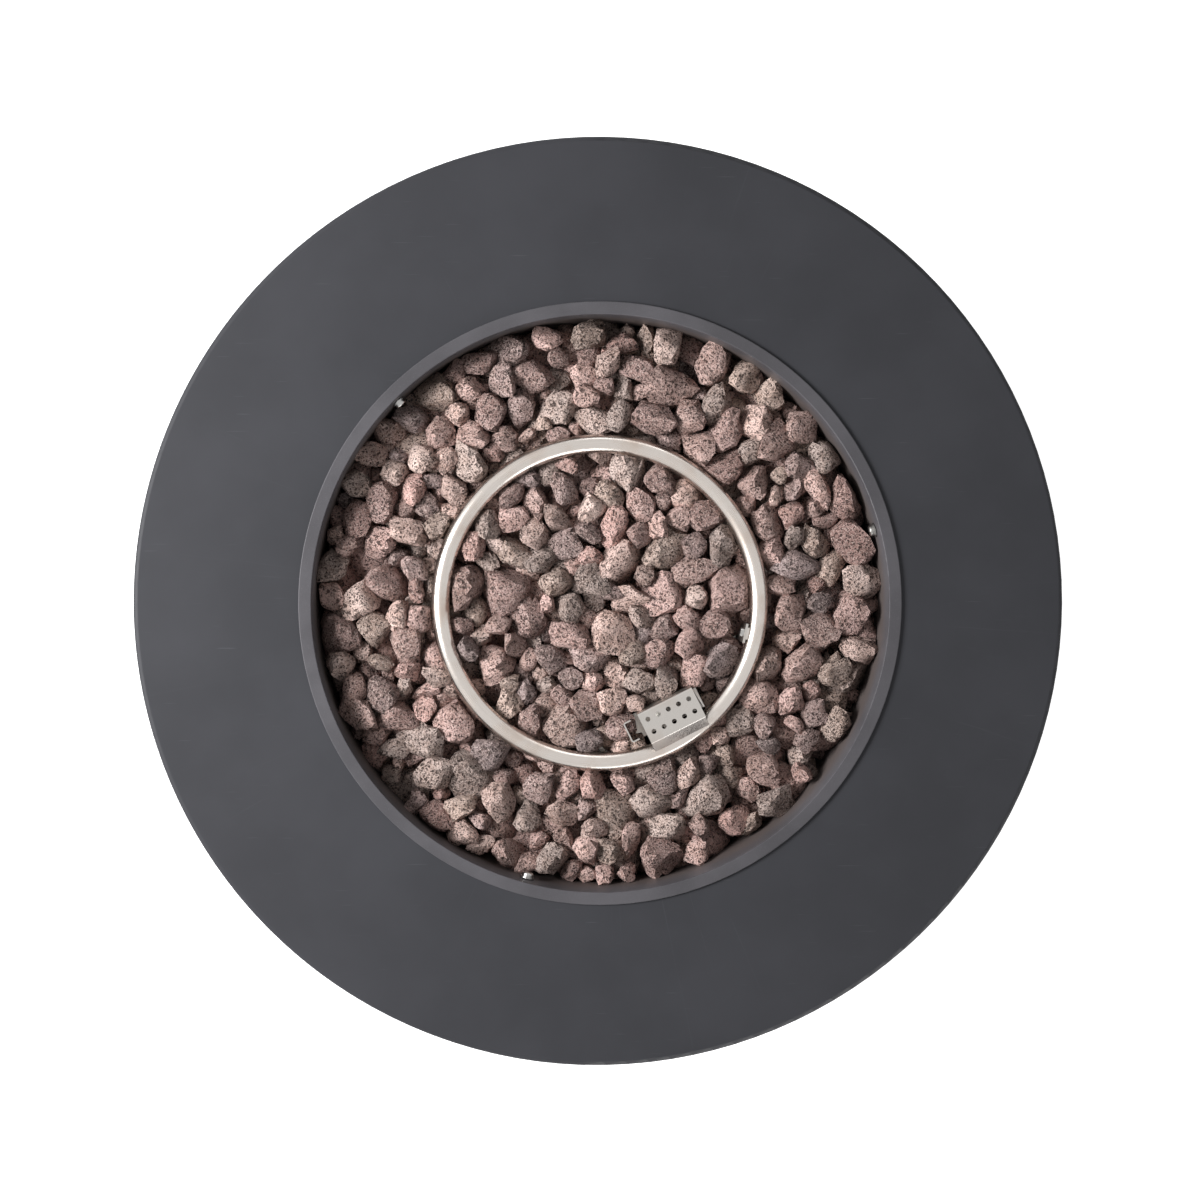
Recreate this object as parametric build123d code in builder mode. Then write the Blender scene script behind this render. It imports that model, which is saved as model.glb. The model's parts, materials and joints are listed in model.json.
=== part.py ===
from build123d import *
import math
import os
import random

# A round propane fire pit table with a tank bay in its drum.
# Millimetres, +Z up, the origin on the ground under the centre of the top.
# The controls face -Y and the tank door faces +Y.

# Clearances and cuts
SEAT_GAP = 0.3
SLIDE_FIT = 0.05
SCREW_FIT = 0.2
OVERRUN = 30.0

# Table top, cast in fibre cement
TOP_DIAMETER = 762.0
TABLE_HEIGHT = 630.0
DECK_THICKNESS = 16.0
SKIRT_DEPTH = 42.0
SKIRT_WALL = 14.0
EDGE_RADIUS = 4.0
COLLAR_WALL = 12.0
COLLAR_DEPTH = 12.0

# Fire bowl, pressed steel with a hemmed lip that lies on the top
LIP_DIAMETER = 494.0
LIP_WIDTH = 10.5
LIP_THICKNESS = 2.8
LIP_EDGE_RADIUS = 0.8
BOWL_SHEET = 1.6
BOWL_DEPTH = 78.0
WALL_DRAFT = 4.0
FLOOR_BEND = 6.0
OPENING_GAP = 3.0
DRAIN_DIAMETER = 9.0
DRAIN_COUNT = 6
DRAIN_CIRCLE_DIAMETER = 380.0

# Three bolts that hold the bowl in the collar
BOLT_COUNT = 3
BOLT_FIRST_ANGLE = 15.0
BOLT_DROP = 20.0
BOLT_DIAMETER = 5.0
BOLT_HEAD_DIAMETER = 9.5
BOLT_HEAD_HEIGHT = 3.6
BOLT_LENGTH = 17.0
BOLT_SEAT_GAP = 0.4
WASHER_DIAMETER = 12.0
WASHER_THICKNESS = 1.2
INSERT_DIAMETER = 8.0
INSERT_LENGTH = 10.0

# Ring burner with its welded feed tube
RING_DIAMETER = 264.0
RING_DROP = 28.0
TUBE_DIAMETER = 15.5
TUBE_WALL = 1.2
FEED_ANGLE = -90.0
FEED_DIAMETER = 14.0
FEED_WALL = 1.2
FEED_COLLAR_DIAMETER = 24.0
FEED_COLLAR_HEIGHT = 4.0
FEED_TAIL = 20.0
BUNG_LENGTH = 15.0
BUNG_WIDTH = 14.2
BUNG_DROP = 4.0
BUNG_HEIGHT = 6.0
BUNG_BORE = 8.0
PLUG_WIDTH = 10.0
PLUG_HEIGHT = 9.0
PLUG_DEPTH = 6.5
FEED_NUT_WIDTH = 24.0
FEED_NUT_HEIGHT = 8.0
PORT_COUNT = 30
PORT_LENGTH = 5.0
PORT_WIDTH = 1.6
PORT_DIP_ANGLE = 45.0

# Strip supports of the ring: the first is screwed to it, the others carry it from below
SUPPORT_COUNT = 3
SUPPORT_FIRST_ANGLE = -11.7
SUPPORT_WIDTH = 16.0
SUPPORT_SHEET = 2.0
SUPPORT_RISE = 6.0
SUPPORT_FOOT = 20.0
SUPPORT_BEND = 2.5
SUPPORT_GAP = 0.4
SADDLE_GAP = 0.3
SUPPORT_SCREW_DIAMETER = 4.0
SUPPORT_SCREW_HEAD_DIAMETER = 8.4
SUPPORT_SCREW_HEAD_HEIGHT = 3.0
SUPPORT_SCREW_LENGTH = 7.0
RIVET_DIAMETER = 4.0
RIVET_HEAD_DIAMETER = 8.0
RIVET_HEAD_HEIGHT = 1.6

# Perforated igniter hood over the ring
HOOD_TURN_ANGLE = -63.6
HOOD_REACH = 108.0
HOOD_SHIFT = 11.2
HOOD_LENGTH = 50.0
HOOD_DEPTH = 27.0
HOOD_SLOPE = 8.2
HOOD_SHEET = 1.0
HOOD_BEND = 1.5
HOOD_RISE = 9.0
HOOD_CREST_GAP = 0.8
HOOD_HOLE_DIAMETER = 4.1
HOOD_HOLE_PITCH = 9.4
HOOD_ROW_PITCH = 11.3
HOOD_HOLE_COLUMNS = 5
HOOD_HOLE_ROWS = 2

# Igniter bracket, a folded strip with an upturned tab past each end of the hood
BRACKET_SHEET = 1.2
BRACKET_BEND = 1.5
BRACKET_PLATE_DROP = 14.0
BRACKET_LEG_WIDTH = 24.0
BRACKET_FOOT = 16.0
BRACKET_PLATE_DEPTH = 24.0
BRACKET_LEFT_REACH = 14.0
BRACKET_RIGHT_REACH = 4.0
TAB_HEIGHT = 20.0
TAB_MARGIN = 2.0
TAB_RETURN = 7.0
TAB_SPLAY = 3.0

# Spark electrode and flame sensor
ELECTRODE_REACH = 108.0
ELECTRODE_SHIFT = 3.0
CERAMIC_DIAMETER = 7.0
CERAMIC_COLLAR_DIAMETER = 11.0
CERAMIC_COLLAR_HEIGHT = 4.0
CERAMIC_ABOVE = 15.0
CERAMIC_BELOW = 16.0
NEEDLE_DIAMETER = 2.0
NEEDLE_RISE = 5.0
NEEDLE_BEND = 3.0
SPARK_GAP = 3.0
SENSOR_REACH = 110.0
SENSOR_SHIFT = 22.0
SENSOR_DIAMETER = 5.0
SENSOR_COLLAR_DIAMETER = 10.0
SENSOR_COLLAR_HEIGHT = 6.0
SENSOR_ABOVE = 17.0
SENSOR_BELOW = 16.0
LEAD_DIAMETER = 3.0
LEAD_BEND = 14.0
LEAD_HOLE_DIAMETER = 10.0

# Lava rock in two layers of separate stones
ROCK_SEED = 7
ROCK_GAP = 0.8
ROCK_WALL_GAP = 3.5
LOWER_ROCK_COUNT = 92
LOWER_ROCK_HEIGHT = 22.0
UPPER_ROCK_COUNT = 182
UPPER_ROCK_HEIGHT = 26.0
ROCK_LEAST_EDGE = 4.0
ROCK_JITTER_SHARE = 0.30
ROCK_HEIGHT_SPREAD_SHARE = 0.30
ROCK_LEVEL_SHARES = (0.0, 0.42, 1.0)
ROCK_WIDTH_SHARES = (0.68, 1.0, 0.58)
ROCK_LEAN_SHARE = 0.10
SUPPORT_ROOM = 15.0
SADDLE_ROOM = 11.0
FEED_ROOM = 13.5
LEAD_ROOM = 8.0
BRACKET_ROOM = 14.0

# Drum, cast in fibre cement, with a flat pad for the controls
DRUM_DIAMETER = 572.0
DRUM_WALL = 12.0
DOOR_HALF_ANGLE = 38.0
DOORWAY_SILL = 24.0
DOORWAY_HEAD = 90.0
PAD_REACH = 290.0
PAD_WIDTH = 176.0
PAD_HEIGHT = 88.0
PAD_CORNER = 6.0
CONTROL_DROP = 125.0
WINDOW_WIDTH = 128.0
WINDOW_HEIGHT = 46.0

# Angle brackets that hold the top on the drum
TOP_BRACKET_COUNT = 4
TOP_BRACKET_FIRST_ANGLE = 45.0
TOP_BRACKET_LEG = 30.0
TOP_BRACKET_FOOT = 17.0
TOP_BRACKET_SHEET = 2.5
TOP_BRACKET_WIDTH = 30.0
TOP_BRACKET_BEND = 3.0
BRACKET_SCREW_DIAMETER = 5.0
BRACKET_SCREW_HEAD_DIAMETER = 9.0
BRACKET_SCREW_HEAD_HEIGHT = 3.0
BRACKET_SCREW_LENGTH = 10.0

# Base plate, feet and tank ring
FOOT_HEIGHT = 17.0
FOOT_DIAMETER = 44.0
FOOT_TAPER = 3.0
FOOT_EDGE_RADIUS = 2.0
FOOT_COUNT = 4
FOOT_FIRST_ANGLE = 45.0
FOOT_CIRCLE_DIAMETER = 480.0
FOOT_BOLT_DIAMETER = 6.0
FOOT_BOLT_HEAD_DIAMETER = 13.0
FOOT_BOLT_HEAD_HEIGHT = 4.0
FOOT_BOLT_RECESS = 9.0
FOOT_NUT_WIDTH = 12.0
FOOT_NUT_HEIGHT = 5.0
BASE_THICKNESS = 3.0
BASE_MARGIN = 1.0
BASE_SCREW_COUNT = 6
BASE_SCREW_DIAMETER = 5.0
BASE_SCREW_LENGTH = 22.0
BASE_SCREW_HEAD_DIAMETER = 10.0
BASE_SCREW_HEAD_HEIGHT = 3.0
BASE_VENT_COUNT = 6
BASE_VENT_DIAMETER = 30.0
BASE_VENT_CIRCLE_DIAMETER = 130.0
TANK_SEAT_DIAMETER = 208.0
TANK_RING_SHEET = 2.0
TANK_RING_HEIGHT = 25.0
TANK_RING_FLANGE = 12.0
TANK_RING_BEND = 3.0
TANK_SHIFT = 20.0

# Vent grilles over the windows at the sides of the drum
VENT_HALF_ANGLE = 13.0
VENT_HEIGHT = 90.0
VENT_LOW = 70.0
VENT_BORDER = 12.0
VENT_BORDER_ANGLE = 2.5
VENT_SHEET = 1.5
VENT_SLOT_COUNT = 7
VENT_SLOT_WIDTH = 8.0
VENT_SLOT_PITCH_ANGLE = 3.2

# Heat shield under the bowl
SHIELD_DIAMETER = 410.0
SHIELD_SHEET = 1.5
SHIELD_DROP = 36.0
SHIELD_RIM = 8.0
SHIELD_BEND = 2.5
SPACER_COUNT = 3
SPACER_FIRST_ANGLE = 30.0
SPACER_CIRCLE_DIAMETER = 340.0
SPACER_DIAMETER = 10.0
SHIELD_SCREW_DIAMETER = 5.0
SHIELD_SCREW_HEAD_DIAMETER = 10.0
SHIELD_SCREW_HEAD_HEIGHT = 3.5
SHIELD_HOLE_GAP = 4.0

# Mixer tube, air shutter and orifice elbow
MIXER_DIAMETER = 26.0
MIXER_WALL = 1.5
MIXER_LENGTH = 66.0
MIXER_NECK_DIAMETER = 18.0
MIXER_NECK_LENGTH = 12.0
MIXER_CAP = 3.0
MIXER_RIM_DIAMETER = 32.0
AIR_HOLE_WIDTH = 9.0
AIR_HOLE_HEIGHT = 14.0
AIR_HOLE_LIFT = 12.0
SHUTTER_WALL = 1.5
SHUTTER_HEIGHT = 24.0
SHUTTER_TAB = 9.0
SHUTTER_TAB_ANGLE = 45.0
NOZZLE_DIAMETER = 9.0
NOZZLE_LENGTH = 14.0
ELBOW_DIAMETER = 18.0
ELBOW_HEIGHT = 20.0
ELBOW_ARM_DIAMETER = 13.0
ELBOW_ARM_LENGTH = 18.0
PIPE_DIAMETER = 8.0
PIPE_WALL = 1.0
PIPE_BEND = 16.0
PIPE_RUN = 26.0

# Control panel with the gas valve and the igniter
PANEL_WIDTH = 150.0
PANEL_HEIGHT = 64.0
PANEL_SHEET = 2.0
PANEL_CORNER = 4.0
PANEL_SCREW_DIAMETER = 4.0
PANEL_SCREW_HEAD_DIAMETER = 7.6
PANEL_SCREW_HEAD_HEIGHT = 2.4
PANEL_SCREW_LENGTH = 12.0
PANEL_SCREW_MARGIN = 5.5
KNOB_SHIFT = -32.0
KNOB_DIAMETER = 46.0
KNOB_SKIRT_HEIGHT = 5.0
KNOB_GRIP_DIAMETER = 36.0
KNOB_GRIP_HEIGHT = 19.0
KNOB_GRIP_TAPER_ANGLE = 4.0
KNOB_EDGE_RADIUS = 1.5
KNOB_FLUTE_COUNT = 12
KNOB_FLUTE_DIAMETER = 5.0
KNOB_BORE_DEPTH = 16.0
KNOB_STANDOFF = 5.0
VALVE_NECK_DIAMETER = 26.0
VALVE_ROOM = 12.0
VALVE_WIDTH = 38.0
VALVE_HEIGHT = 34.0
VALVE_DEPTH = 40.0
VALVE_EDGE_RADIUS = 3.0
VALVE_BORE_DIAMETER = 15.0
VALVE_BORE_DEPTH = 48.0
PLUNGER_FRONT = 14.0
PLUNGER_LENGTH = 16.0
SPINDLE_DIAMETER = 8.0
SPINDLE_COLLAR_DIAMETER = 12.0
SPINDLE_COLLAR_LENGTH = 5.0
SPINDLE_TAIL = 8.0
INLET_DIAMETER = 15.88
INLET_LENGTH = 18.0
INLET_HEX_WIDTH = 19.0
INLET_HEX_HEIGHT = 9.0
INLET_BORE_DIAMETER = 7.0
IGNITER_SHIFT = 35.0
IGNITER_DIAMETER = 24.0
IGNITER_FLANGE_DIAMETER = 32.0
IGNITER_FLANGE_HEIGHT = 3.5
IGNITER_LENGTH = 50.0
IGNITER_BORE_DIAMETER = 18.0
IGNITER_BORE_DEPTH = 32.0
IGNITER_NUT_DIAMETER = 32.0
IGNITER_NUT_HEIGHT = 5.0
BUTTON_PROUD = 6.0
BUTTON_LENGTH = 31.0
BUTTON_EDGE_RADIUS = 2.0

# Tank door with its hinges, pull and magnetic catch
DOOR_GAP = 2.0
DOOR_SHEET = 2.0
DOOR_RETURN = 10.0
HINGE_INSET = 48.0
HINGE_LENGTH = 60.0
HINGE_SHEET = 2.0
HINGE_LEAF_WIDTH = 26.0
KNUCKLE_DIAMETER = 9.0
KNUCKLE_GAP = 0.4
HINGE_STANDOFF = 0.4
PIN_DIAMETER = 5.0
PIN_HEAD_DIAMETER = 8.0
PIN_HEAD_HEIGHT = 2.0
PULL_DIAMETER = 28.0
PULL_LENGTH = 26.0
PULL_NECK_DIAMETER = 12.0
PULL_NECK_LENGTH = 10.0
PULL_EDGE_RADIUS = 4.0
PULL_STUD_DIAMETER = 6.0
PULL_STUD_LENGTH = 9.0
PULL_NUT_WIDTH = 10.0
PULL_NUT_HEIGHT = 5.0
PULL_ANGLE = 6.0
PULL_SEAT_GAP = 0.1
MAGNET_WIDTH = 14.0
MAGNET_HEIGHT = 40.0
MAGNET_DEPTH = 12.0
MAGNET_LAP = 8.0
MAGNET_GAP = 0.5
CATCH_DROP = 60.0

# Heights and radii that follow from the sizes
top_radius = TOP_DIAMETER / 2
deck_under = TABLE_HEIGHT - DECK_THICKNESS
lip_radius = LIP_DIAMETER / 2
mouth_radius = lip_radius - LIP_WIDTH
opening_radius = mouth_radius + BOWL_SHEET + OPENING_GAP
collar_radius = opening_radius + COLLAR_WALL
collar_under = deck_under - COLLAR_DEPTH
lip_top = TABLE_HEIGHT + LIP_THICKNESS
floor_top = lip_top - BOWL_DEPTH
floor_under = floor_top - BOWL_SHEET
foot_radius = mouth_radius - WALL_DRAFT
bolt_height = lip_top - BOLT_DROP
bolt_seat = mouth_radius - WALL_DRAFT * BOLT_DROP / BOWL_DEPTH - BOLT_SEAT_GAP
bolt_angles = [BOLT_FIRST_ANGLE + turn * 360 / BOLT_COUNT for turn in range(BOLT_COUNT)]
ring_radius = RING_DIAMETER / 2
tube_radius = TUBE_DIAMETER / 2
ring_height = lip_top - RING_DROP
ring_crest = ring_height + tube_radius
ring_under = ring_height - tube_radius
support_angles = [SUPPORT_FIRST_ANGLE + turn * 360 / SUPPORT_COUNT for turn in range(SUPPORT_COUNT)]
support_face = ring_radius - tube_radius - SUPPORT_GAP
support_back = support_face - SUPPORT_SHEET
hood_top = ring_crest + HOOD_RISE
hood_back = HOOD_REACH - HOOD_DEPTH / 2
hood_front = HOOD_REACH + HOOD_DEPTH / 2
bracket_plate = ring_height - BRACKET_PLATE_DROP
bracket_left = HOOD_SHIFT - HOOD_LENGTH / 2 - BRACKET_LEFT_REACH
bracket_right = HOOD_SHIFT + HOOD_LENGTH / 2 + BRACKET_RIGHT_REACH
bracket_back = hood_back - SEAT_GAP - BRACKET_SHEET
bracket_front = bracket_back + BRACKET_PLATE_DEPTH
bracket_seat = bracket_plate + BRACKET_SHEET
feed_x = ring_radius * math.cos(math.radians(FEED_ANGLE))
feed_y = ring_radius * math.sin(math.radians(FEED_ANGLE))
feed_end = floor_under - FEED_TAIL
mixer_top = feed_end + MIXER_NECK_LENGTH
mixer_base = mixer_top - MIXER_LENGTH
mixer_radius = MIXER_DIAMETER / 2
shield_top = floor_under - SHIELD_DROP
shield_under = shield_top - SHIELD_SHEET
drum_radius = DRUM_DIAMETER / 2
drum_inner = drum_radius - DRUM_WALL
base_top = FOOT_HEIGHT + BASE_THICKNESS
doorway_low = base_top + DOORWAY_SILL
doorway_high = deck_under - DOORWAY_HEAD
control_height = TABLE_HEIGHT - CONTROL_DROP
panel_seat = PAD_REACH - PANEL_SHEET
valve_front = drum_inner - VALVE_ROOM
valve_back = valve_front - VALVE_DEPTH
door_gap_angle = math.degrees(DOOR_GAP / drum_radius)
door_low = doorway_low + DOOR_GAP
door_high = doorway_high - DOOR_GAP
door_half_angle = DOOR_HALF_ANGLE - door_gap_angle
hinge_angle = 90 + DOOR_HALF_ANGLE - door_gap_angle / 2
hinge_radius = drum_radius + HINGE_STANDOFF + KNUCKLE_DIAMETER / 2
knuckle_length = HINGE_LENGTH / 3
hinge_lows = [door_low + HINGE_INSET, door_high - HINGE_INSET - HINGE_LENGTH]
latch_angle = 90 - DOOR_HALF_ANGLE
magnet_face = math.sqrt(drum_inner**2 - MAGNET_WIDTH**2)
top_bracket_seat = math.sqrt(drum_inner**2 - (TOP_BRACKET_WIDTH / 2) ** 2)
top_bracket_angles = [
    TOP_BRACKET_FIRST_ANGLE + turn * 360 / TOP_BRACKET_COUNT for turn in range(TOP_BRACKET_COUNT)
]
deck_screw_reach = top_bracket_seat - TOP_BRACKET_FOOT / 2 - TOP_BRACKET_SHEET / 2
wall_screw_height = deck_under - TOP_BRACKET_LEG / 2 - TOP_BRACKET_SHEET / 2
knob_back = PAD_REACH + KNOB_STANDOFF
igniter_back = PAD_REACH + IGNITER_FLANGE_HEIGHT - IGNITER_LENGTH
electrode_foot = bracket_seat - CERAMIC_BELOW
sensor_foot = bracket_seat - SENSOR_BELOW


def outward_plane(angle, distance, height):
    """Upright plane that faces away from the Z axis, at a distance from it."""
    way = Vector(math.cos(math.radians(angle)), math.sin(math.radians(angle)), 0)
    return Plane(origin=way * distance + Vector(0, 0, height), x_dir=Vector(-way.Y, way.X, 0), z_dir=way)


def turned_plane(angle, height):
    """Level plane whose x runs outward at an angle."""
    way = Vector(math.cos(math.radians(angle)), math.sin(math.radians(angle)), 0)
    return Plane(origin=(0, 0, height), x_dir=way, z_dir=(0, 0, 1))


def section_plane(angle, shift=0):
    """Upright plane through the Z axis, x outward and y up, moved sideways by a shift."""
    way = Vector(math.cos(math.radians(angle)), math.sin(math.radians(angle)), 0)
    side = Vector(-way.Y, way.X, 0)
    return Plane(origin=side * shift, x_dir=way, z_dir=side * -1)


def front_plane(distance):
    """Upright plane that faces the front, x to the right and y up, at the height of the controls."""
    return Plane(origin=(0, -distance, control_height), x_dir=(1, 0, 0), z_dir=(0, -1, 0))


def ring_sector(inner, outer, start, end):
    """Face between two radii and two angles, for a sketch to add."""
    with BuildSketch(mode=Mode.PRIVATE) as sector:
        with BuildLine():
            outside = CenterArc((0, 0), outer, start, end - start)
            inside = CenterArc((0, 0), inner, start, end - start)
            Line(outside @ 0, inside @ 0)
            Line(outside @ 1, inside @ 1)
        make_face()
    return sector.sketch


def write(piece, name):
    """Labels a finished piece and writes its STEP file."""
    piece.label = name
    export_step(piece, f"parts/{name}.step")


os.makedirs("parts", exist_ok=True)

# Table top: deck, rounded edge, skirt and the collar round the opening
with BuildPart() as table_top:
    with BuildSketch(Plane.XZ) as top_section:
        with BuildLine():
            Polyline(
                (opening_radius, TABLE_HEIGHT),
                (top_radius, TABLE_HEIGHT),
                (top_radius, TABLE_HEIGHT - SKIRT_DEPTH),
                (top_radius - SKIRT_WALL, TABLE_HEIGHT - SKIRT_DEPTH),
                (top_radius - SKIRT_WALL - EDGE_RADIUS, deck_under),
                (collar_radius, deck_under),
                (collar_radius, collar_under),
                (opening_radius, collar_under),
                close=True,
            )
        make_face()
        fillet(top_section.vertices().group_by(Axis.X)[-1], radius=EDGE_RADIUS)
    revolve(axis=Axis.Z)
    for angle in bolt_angles:
        with BuildSketch(outward_plane(angle, opening_radius - OPENING_GAP, bolt_height)):
            Circle(INSERT_DIAMETER / 2 + SLIDE_FIT)
        extrude(amount=OPENING_GAP + INSERT_LENGTH + SLIDE_FIT, mode=Mode.SUBTRACT)
    with BuildSketch(Plane.XY.offset(deck_under)):
        with PolarLocations(deck_screw_reach, TOP_BRACKET_COUNT, start_angle=TOP_BRACKET_FIRST_ANGLE):
            Circle(BRACKET_SCREW_DIAMETER / 2 + SLIDE_FIT)
    extrude(amount=BRACKET_SCREW_LENGTH, mode=Mode.SUBTRACT)
write(table_top.part, "table_top")

# Fire bowl: drafted wall, floor and hemmed lip
with BuildPart() as fire_bowl:
    with BuildSketch(Plane.XZ):
        with BuildLine():
            FilletPolyline(
                (mouth_radius + BOWL_SHEET / 2, TABLE_HEIGHT),
                (foot_radius + BOWL_SHEET / 2, floor_top - BOWL_SHEET / 2),
                (0, floor_top - BOWL_SHEET / 2),
                radius=FLOOR_BEND,
            )
        trace(line_width=BOWL_SHEET)
    revolve(axis=Axis.Z)
    with BuildSketch(Plane.XY.offset(TABLE_HEIGHT)):
        Circle(lip_radius)
        Circle(mouth_radius, mode=Mode.SUBTRACT)
    extrude(amount=LIP_THICKNESS)
    fillet(fire_bowl.edges().filter_by(GeomType.CIRCLE).group_by(Axis.Z)[-1], radius=LIP_EDGE_RADIUS)
    with BuildSketch(Plane.XY.offset(floor_under)):
        with PolarLocations(DRAIN_CIRCLE_DIAMETER / 2, DRAIN_COUNT):
            Circle(DRAIN_DIAMETER / 2)
        with PolarLocations(SPACER_CIRCLE_DIAMETER / 2, SPACER_COUNT, start_angle=SPACER_FIRST_ANGLE):
            Circle(SHIELD_SCREW_DIAMETER / 2 + SCREW_FIT)
        with Locations((feed_x, feed_y)):
            Circle(FEED_DIAMETER / 2 + SCREW_FIT)
        with PolarLocations(support_back - SUPPORT_FOOT / 2, SUPPORT_COUNT, start_angle=SUPPORT_FIRST_ANGLE):
            Circle(RIVET_DIAMETER / 2 + SCREW_FIT)
    extrude(amount=BOWL_SHEET, mode=Mode.SUBTRACT)
    with BuildSketch(turned_plane(HOOD_TURN_ANGLE, floor_under)):
        with Locations((ELECTRODE_REACH, ELECTRODE_SHIFT), (SENSOR_REACH, SENSOR_SHIFT)):
            Circle(LEAD_HOLE_DIAMETER / 2)
        with Locations((bracket_back - BRACKET_FOOT / 2, HOOD_SHIFT)):
            Circle(RIVET_DIAMETER / 2 + SCREW_FIT)
    extrude(amount=BOWL_SHEET, mode=Mode.SUBTRACT)
    for angle in bolt_angles:
        with BuildSketch(outward_plane(angle, bolt_seat - OVERRUN, bolt_height)):
            Circle(BOLT_DIAMETER / 2 + SCREW_FIT)
        extrude(amount=2 * OVERRUN, mode=Mode.SUBTRACT)
write(fire_bowl.part, "fire_bowl")

# Bowl bolts, their washers and the threaded inserts in the collar
with BuildPart() as bowl_washers:
    for angle in bolt_angles:
        with BuildSketch(outward_plane(angle, bolt_seat, bolt_height)):
            Circle(WASHER_DIAMETER / 2)
            Circle(BOLT_DIAMETER / 2 + SCREW_FIT, mode=Mode.SUBTRACT)
        extrude(amount=-WASHER_THICKNESS)
write(bowl_washers.part, "bowl_washers")

with BuildPart() as bowl_bolts:
    for angle in bolt_angles:
        with BuildSketch(outward_plane(angle, bolt_seat - WASHER_THICKNESS, bolt_height)):
            Circle(BOLT_HEAD_DIAMETER / 2)
        extrude(amount=-BOLT_HEAD_HEIGHT)
        fillet(bowl_bolts.faces(Select.LAST).sort_by_distance((0, 0, bolt_height))[0].edges(), BOLT_HEAD_HEIGHT / 2)
        with BuildSketch(outward_plane(angle, bolt_seat - WASHER_THICKNESS, bolt_height)):
            Circle(BOLT_DIAMETER / 2)
        extrude(amount=BOLT_LENGTH)
write(bowl_bolts.part, "bowl_bolts")

with BuildPart() as bowl_inserts:
    for angle in bolt_angles:
        with BuildSketch(outward_plane(angle, opening_radius, bolt_height)):
            Circle(INSERT_DIAMETER / 2)
            Circle(BOLT_DIAMETER / 2 + SLIDE_FIT, mode=Mode.SUBTRACT)
        extrude(amount=INSERT_LENGTH)
write(bowl_inserts.part, "bowl_inserts")

# Ring burner: hollow ring, feed tube and gas ports on the lower inside
with BuildPart() as burner_ring:
    with BuildSketch(Plane.XZ):
        with Locations((ring_radius, ring_height)):
            Circle(tube_radius)
            Circle(tube_radius - TUBE_WALL, mode=Mode.SUBTRACT)
    revolve(axis=Axis.Z)
    for turn in range(PORT_COUNT):
        spoke = math.radians((turn + 1 / 2) * 360 / PORT_COUNT)
        dip = math.radians(PORT_DIP_ANGLE)
        middle = (ring_radius * math.cos(spoke), ring_radius * math.sin(spoke), ring_height)
        aim = (-math.cos(spoke) * math.cos(dip), -math.sin(spoke) * math.cos(dip), -math.sin(dip))
        along = (-math.sin(spoke), math.cos(spoke), 0)
        with BuildSketch(Plane(origin=middle, x_dir=along, z_dir=aim)):
            Rectangle(PORT_LENGTH, PORT_WIDTH)
        extrude(amount=TUBE_DIAMETER, mode=Mode.SUBTRACT)
    with BuildSketch(outward_plane(SUPPORT_FIRST_ANGLE, support_face, ring_height)):
        Rectangle(PLUG_WIDTH, PLUG_HEIGHT)
    extrude(amount=PLUG_DEPTH)
    with BuildSketch(outward_plane(SUPPORT_FIRST_ANGLE, support_face, ring_height)):
        Circle(SUPPORT_SCREW_DIAMETER / 2 + SLIDE_FIT)
    extrude(amount=SUPPORT_SCREW_LENGTH - SUPPORT_SHEET + SEAT_GAP, mode=Mode.SUBTRACT)
    with BuildSketch(Plane.XY.offset(ring_under - BUNG_DROP)):
        with Locations((feed_x, feed_y)):
            Rectangle(BUNG_LENGTH, BUNG_WIDTH)
    extrude(amount=BUNG_HEIGHT)
    with BuildSketch(Plane.XY.offset(ring_under - BUNG_DROP)):
        with Locations((feed_x, feed_y)):
            Rectangle(BUNG_BORE, BUNG_BORE)
    extrude(amount=tube_radius + BUNG_DROP, mode=Mode.SUBTRACT)
    with BuildSketch(Plane.XY.offset(ring_under - BUNG_DROP)):
        with Locations((feed_x, feed_y)):
            Circle(FEED_DIAMETER / 2)
            Circle(FEED_DIAMETER / 2 - FEED_WALL, mode=Mode.SUBTRACT)
    extrude(amount=feed_end - ring_under + BUNG_DROP)
    with BuildSketch(Plane.XY.offset(floor_top)):
        with Locations((feed_x, feed_y)):
            Circle(FEED_COLLAR_DIAMETER / 2)
            Circle(FEED_DIAMETER / 2, mode=Mode.SUBTRACT)
    extrude(amount=FEED_COLLAR_HEIGHT)
write(burner_ring.part, "burner_ring")

with BuildPart() as feed_nut:
    with BuildSketch(Plane.XY.offset(floor_under)):
        with Locations((feed_x, feed_y)):
            RegularPolygon(FEED_NUT_WIDTH / 2, 6, major_radius=False)
            Circle(FEED_DIAMETER / 2 + SLIDE_FIT, mode=Mode.SUBTRACT)
    extrude(amount=-FEED_NUT_HEIGHT)
write(feed_nut.part, "feed_nut")

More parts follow.
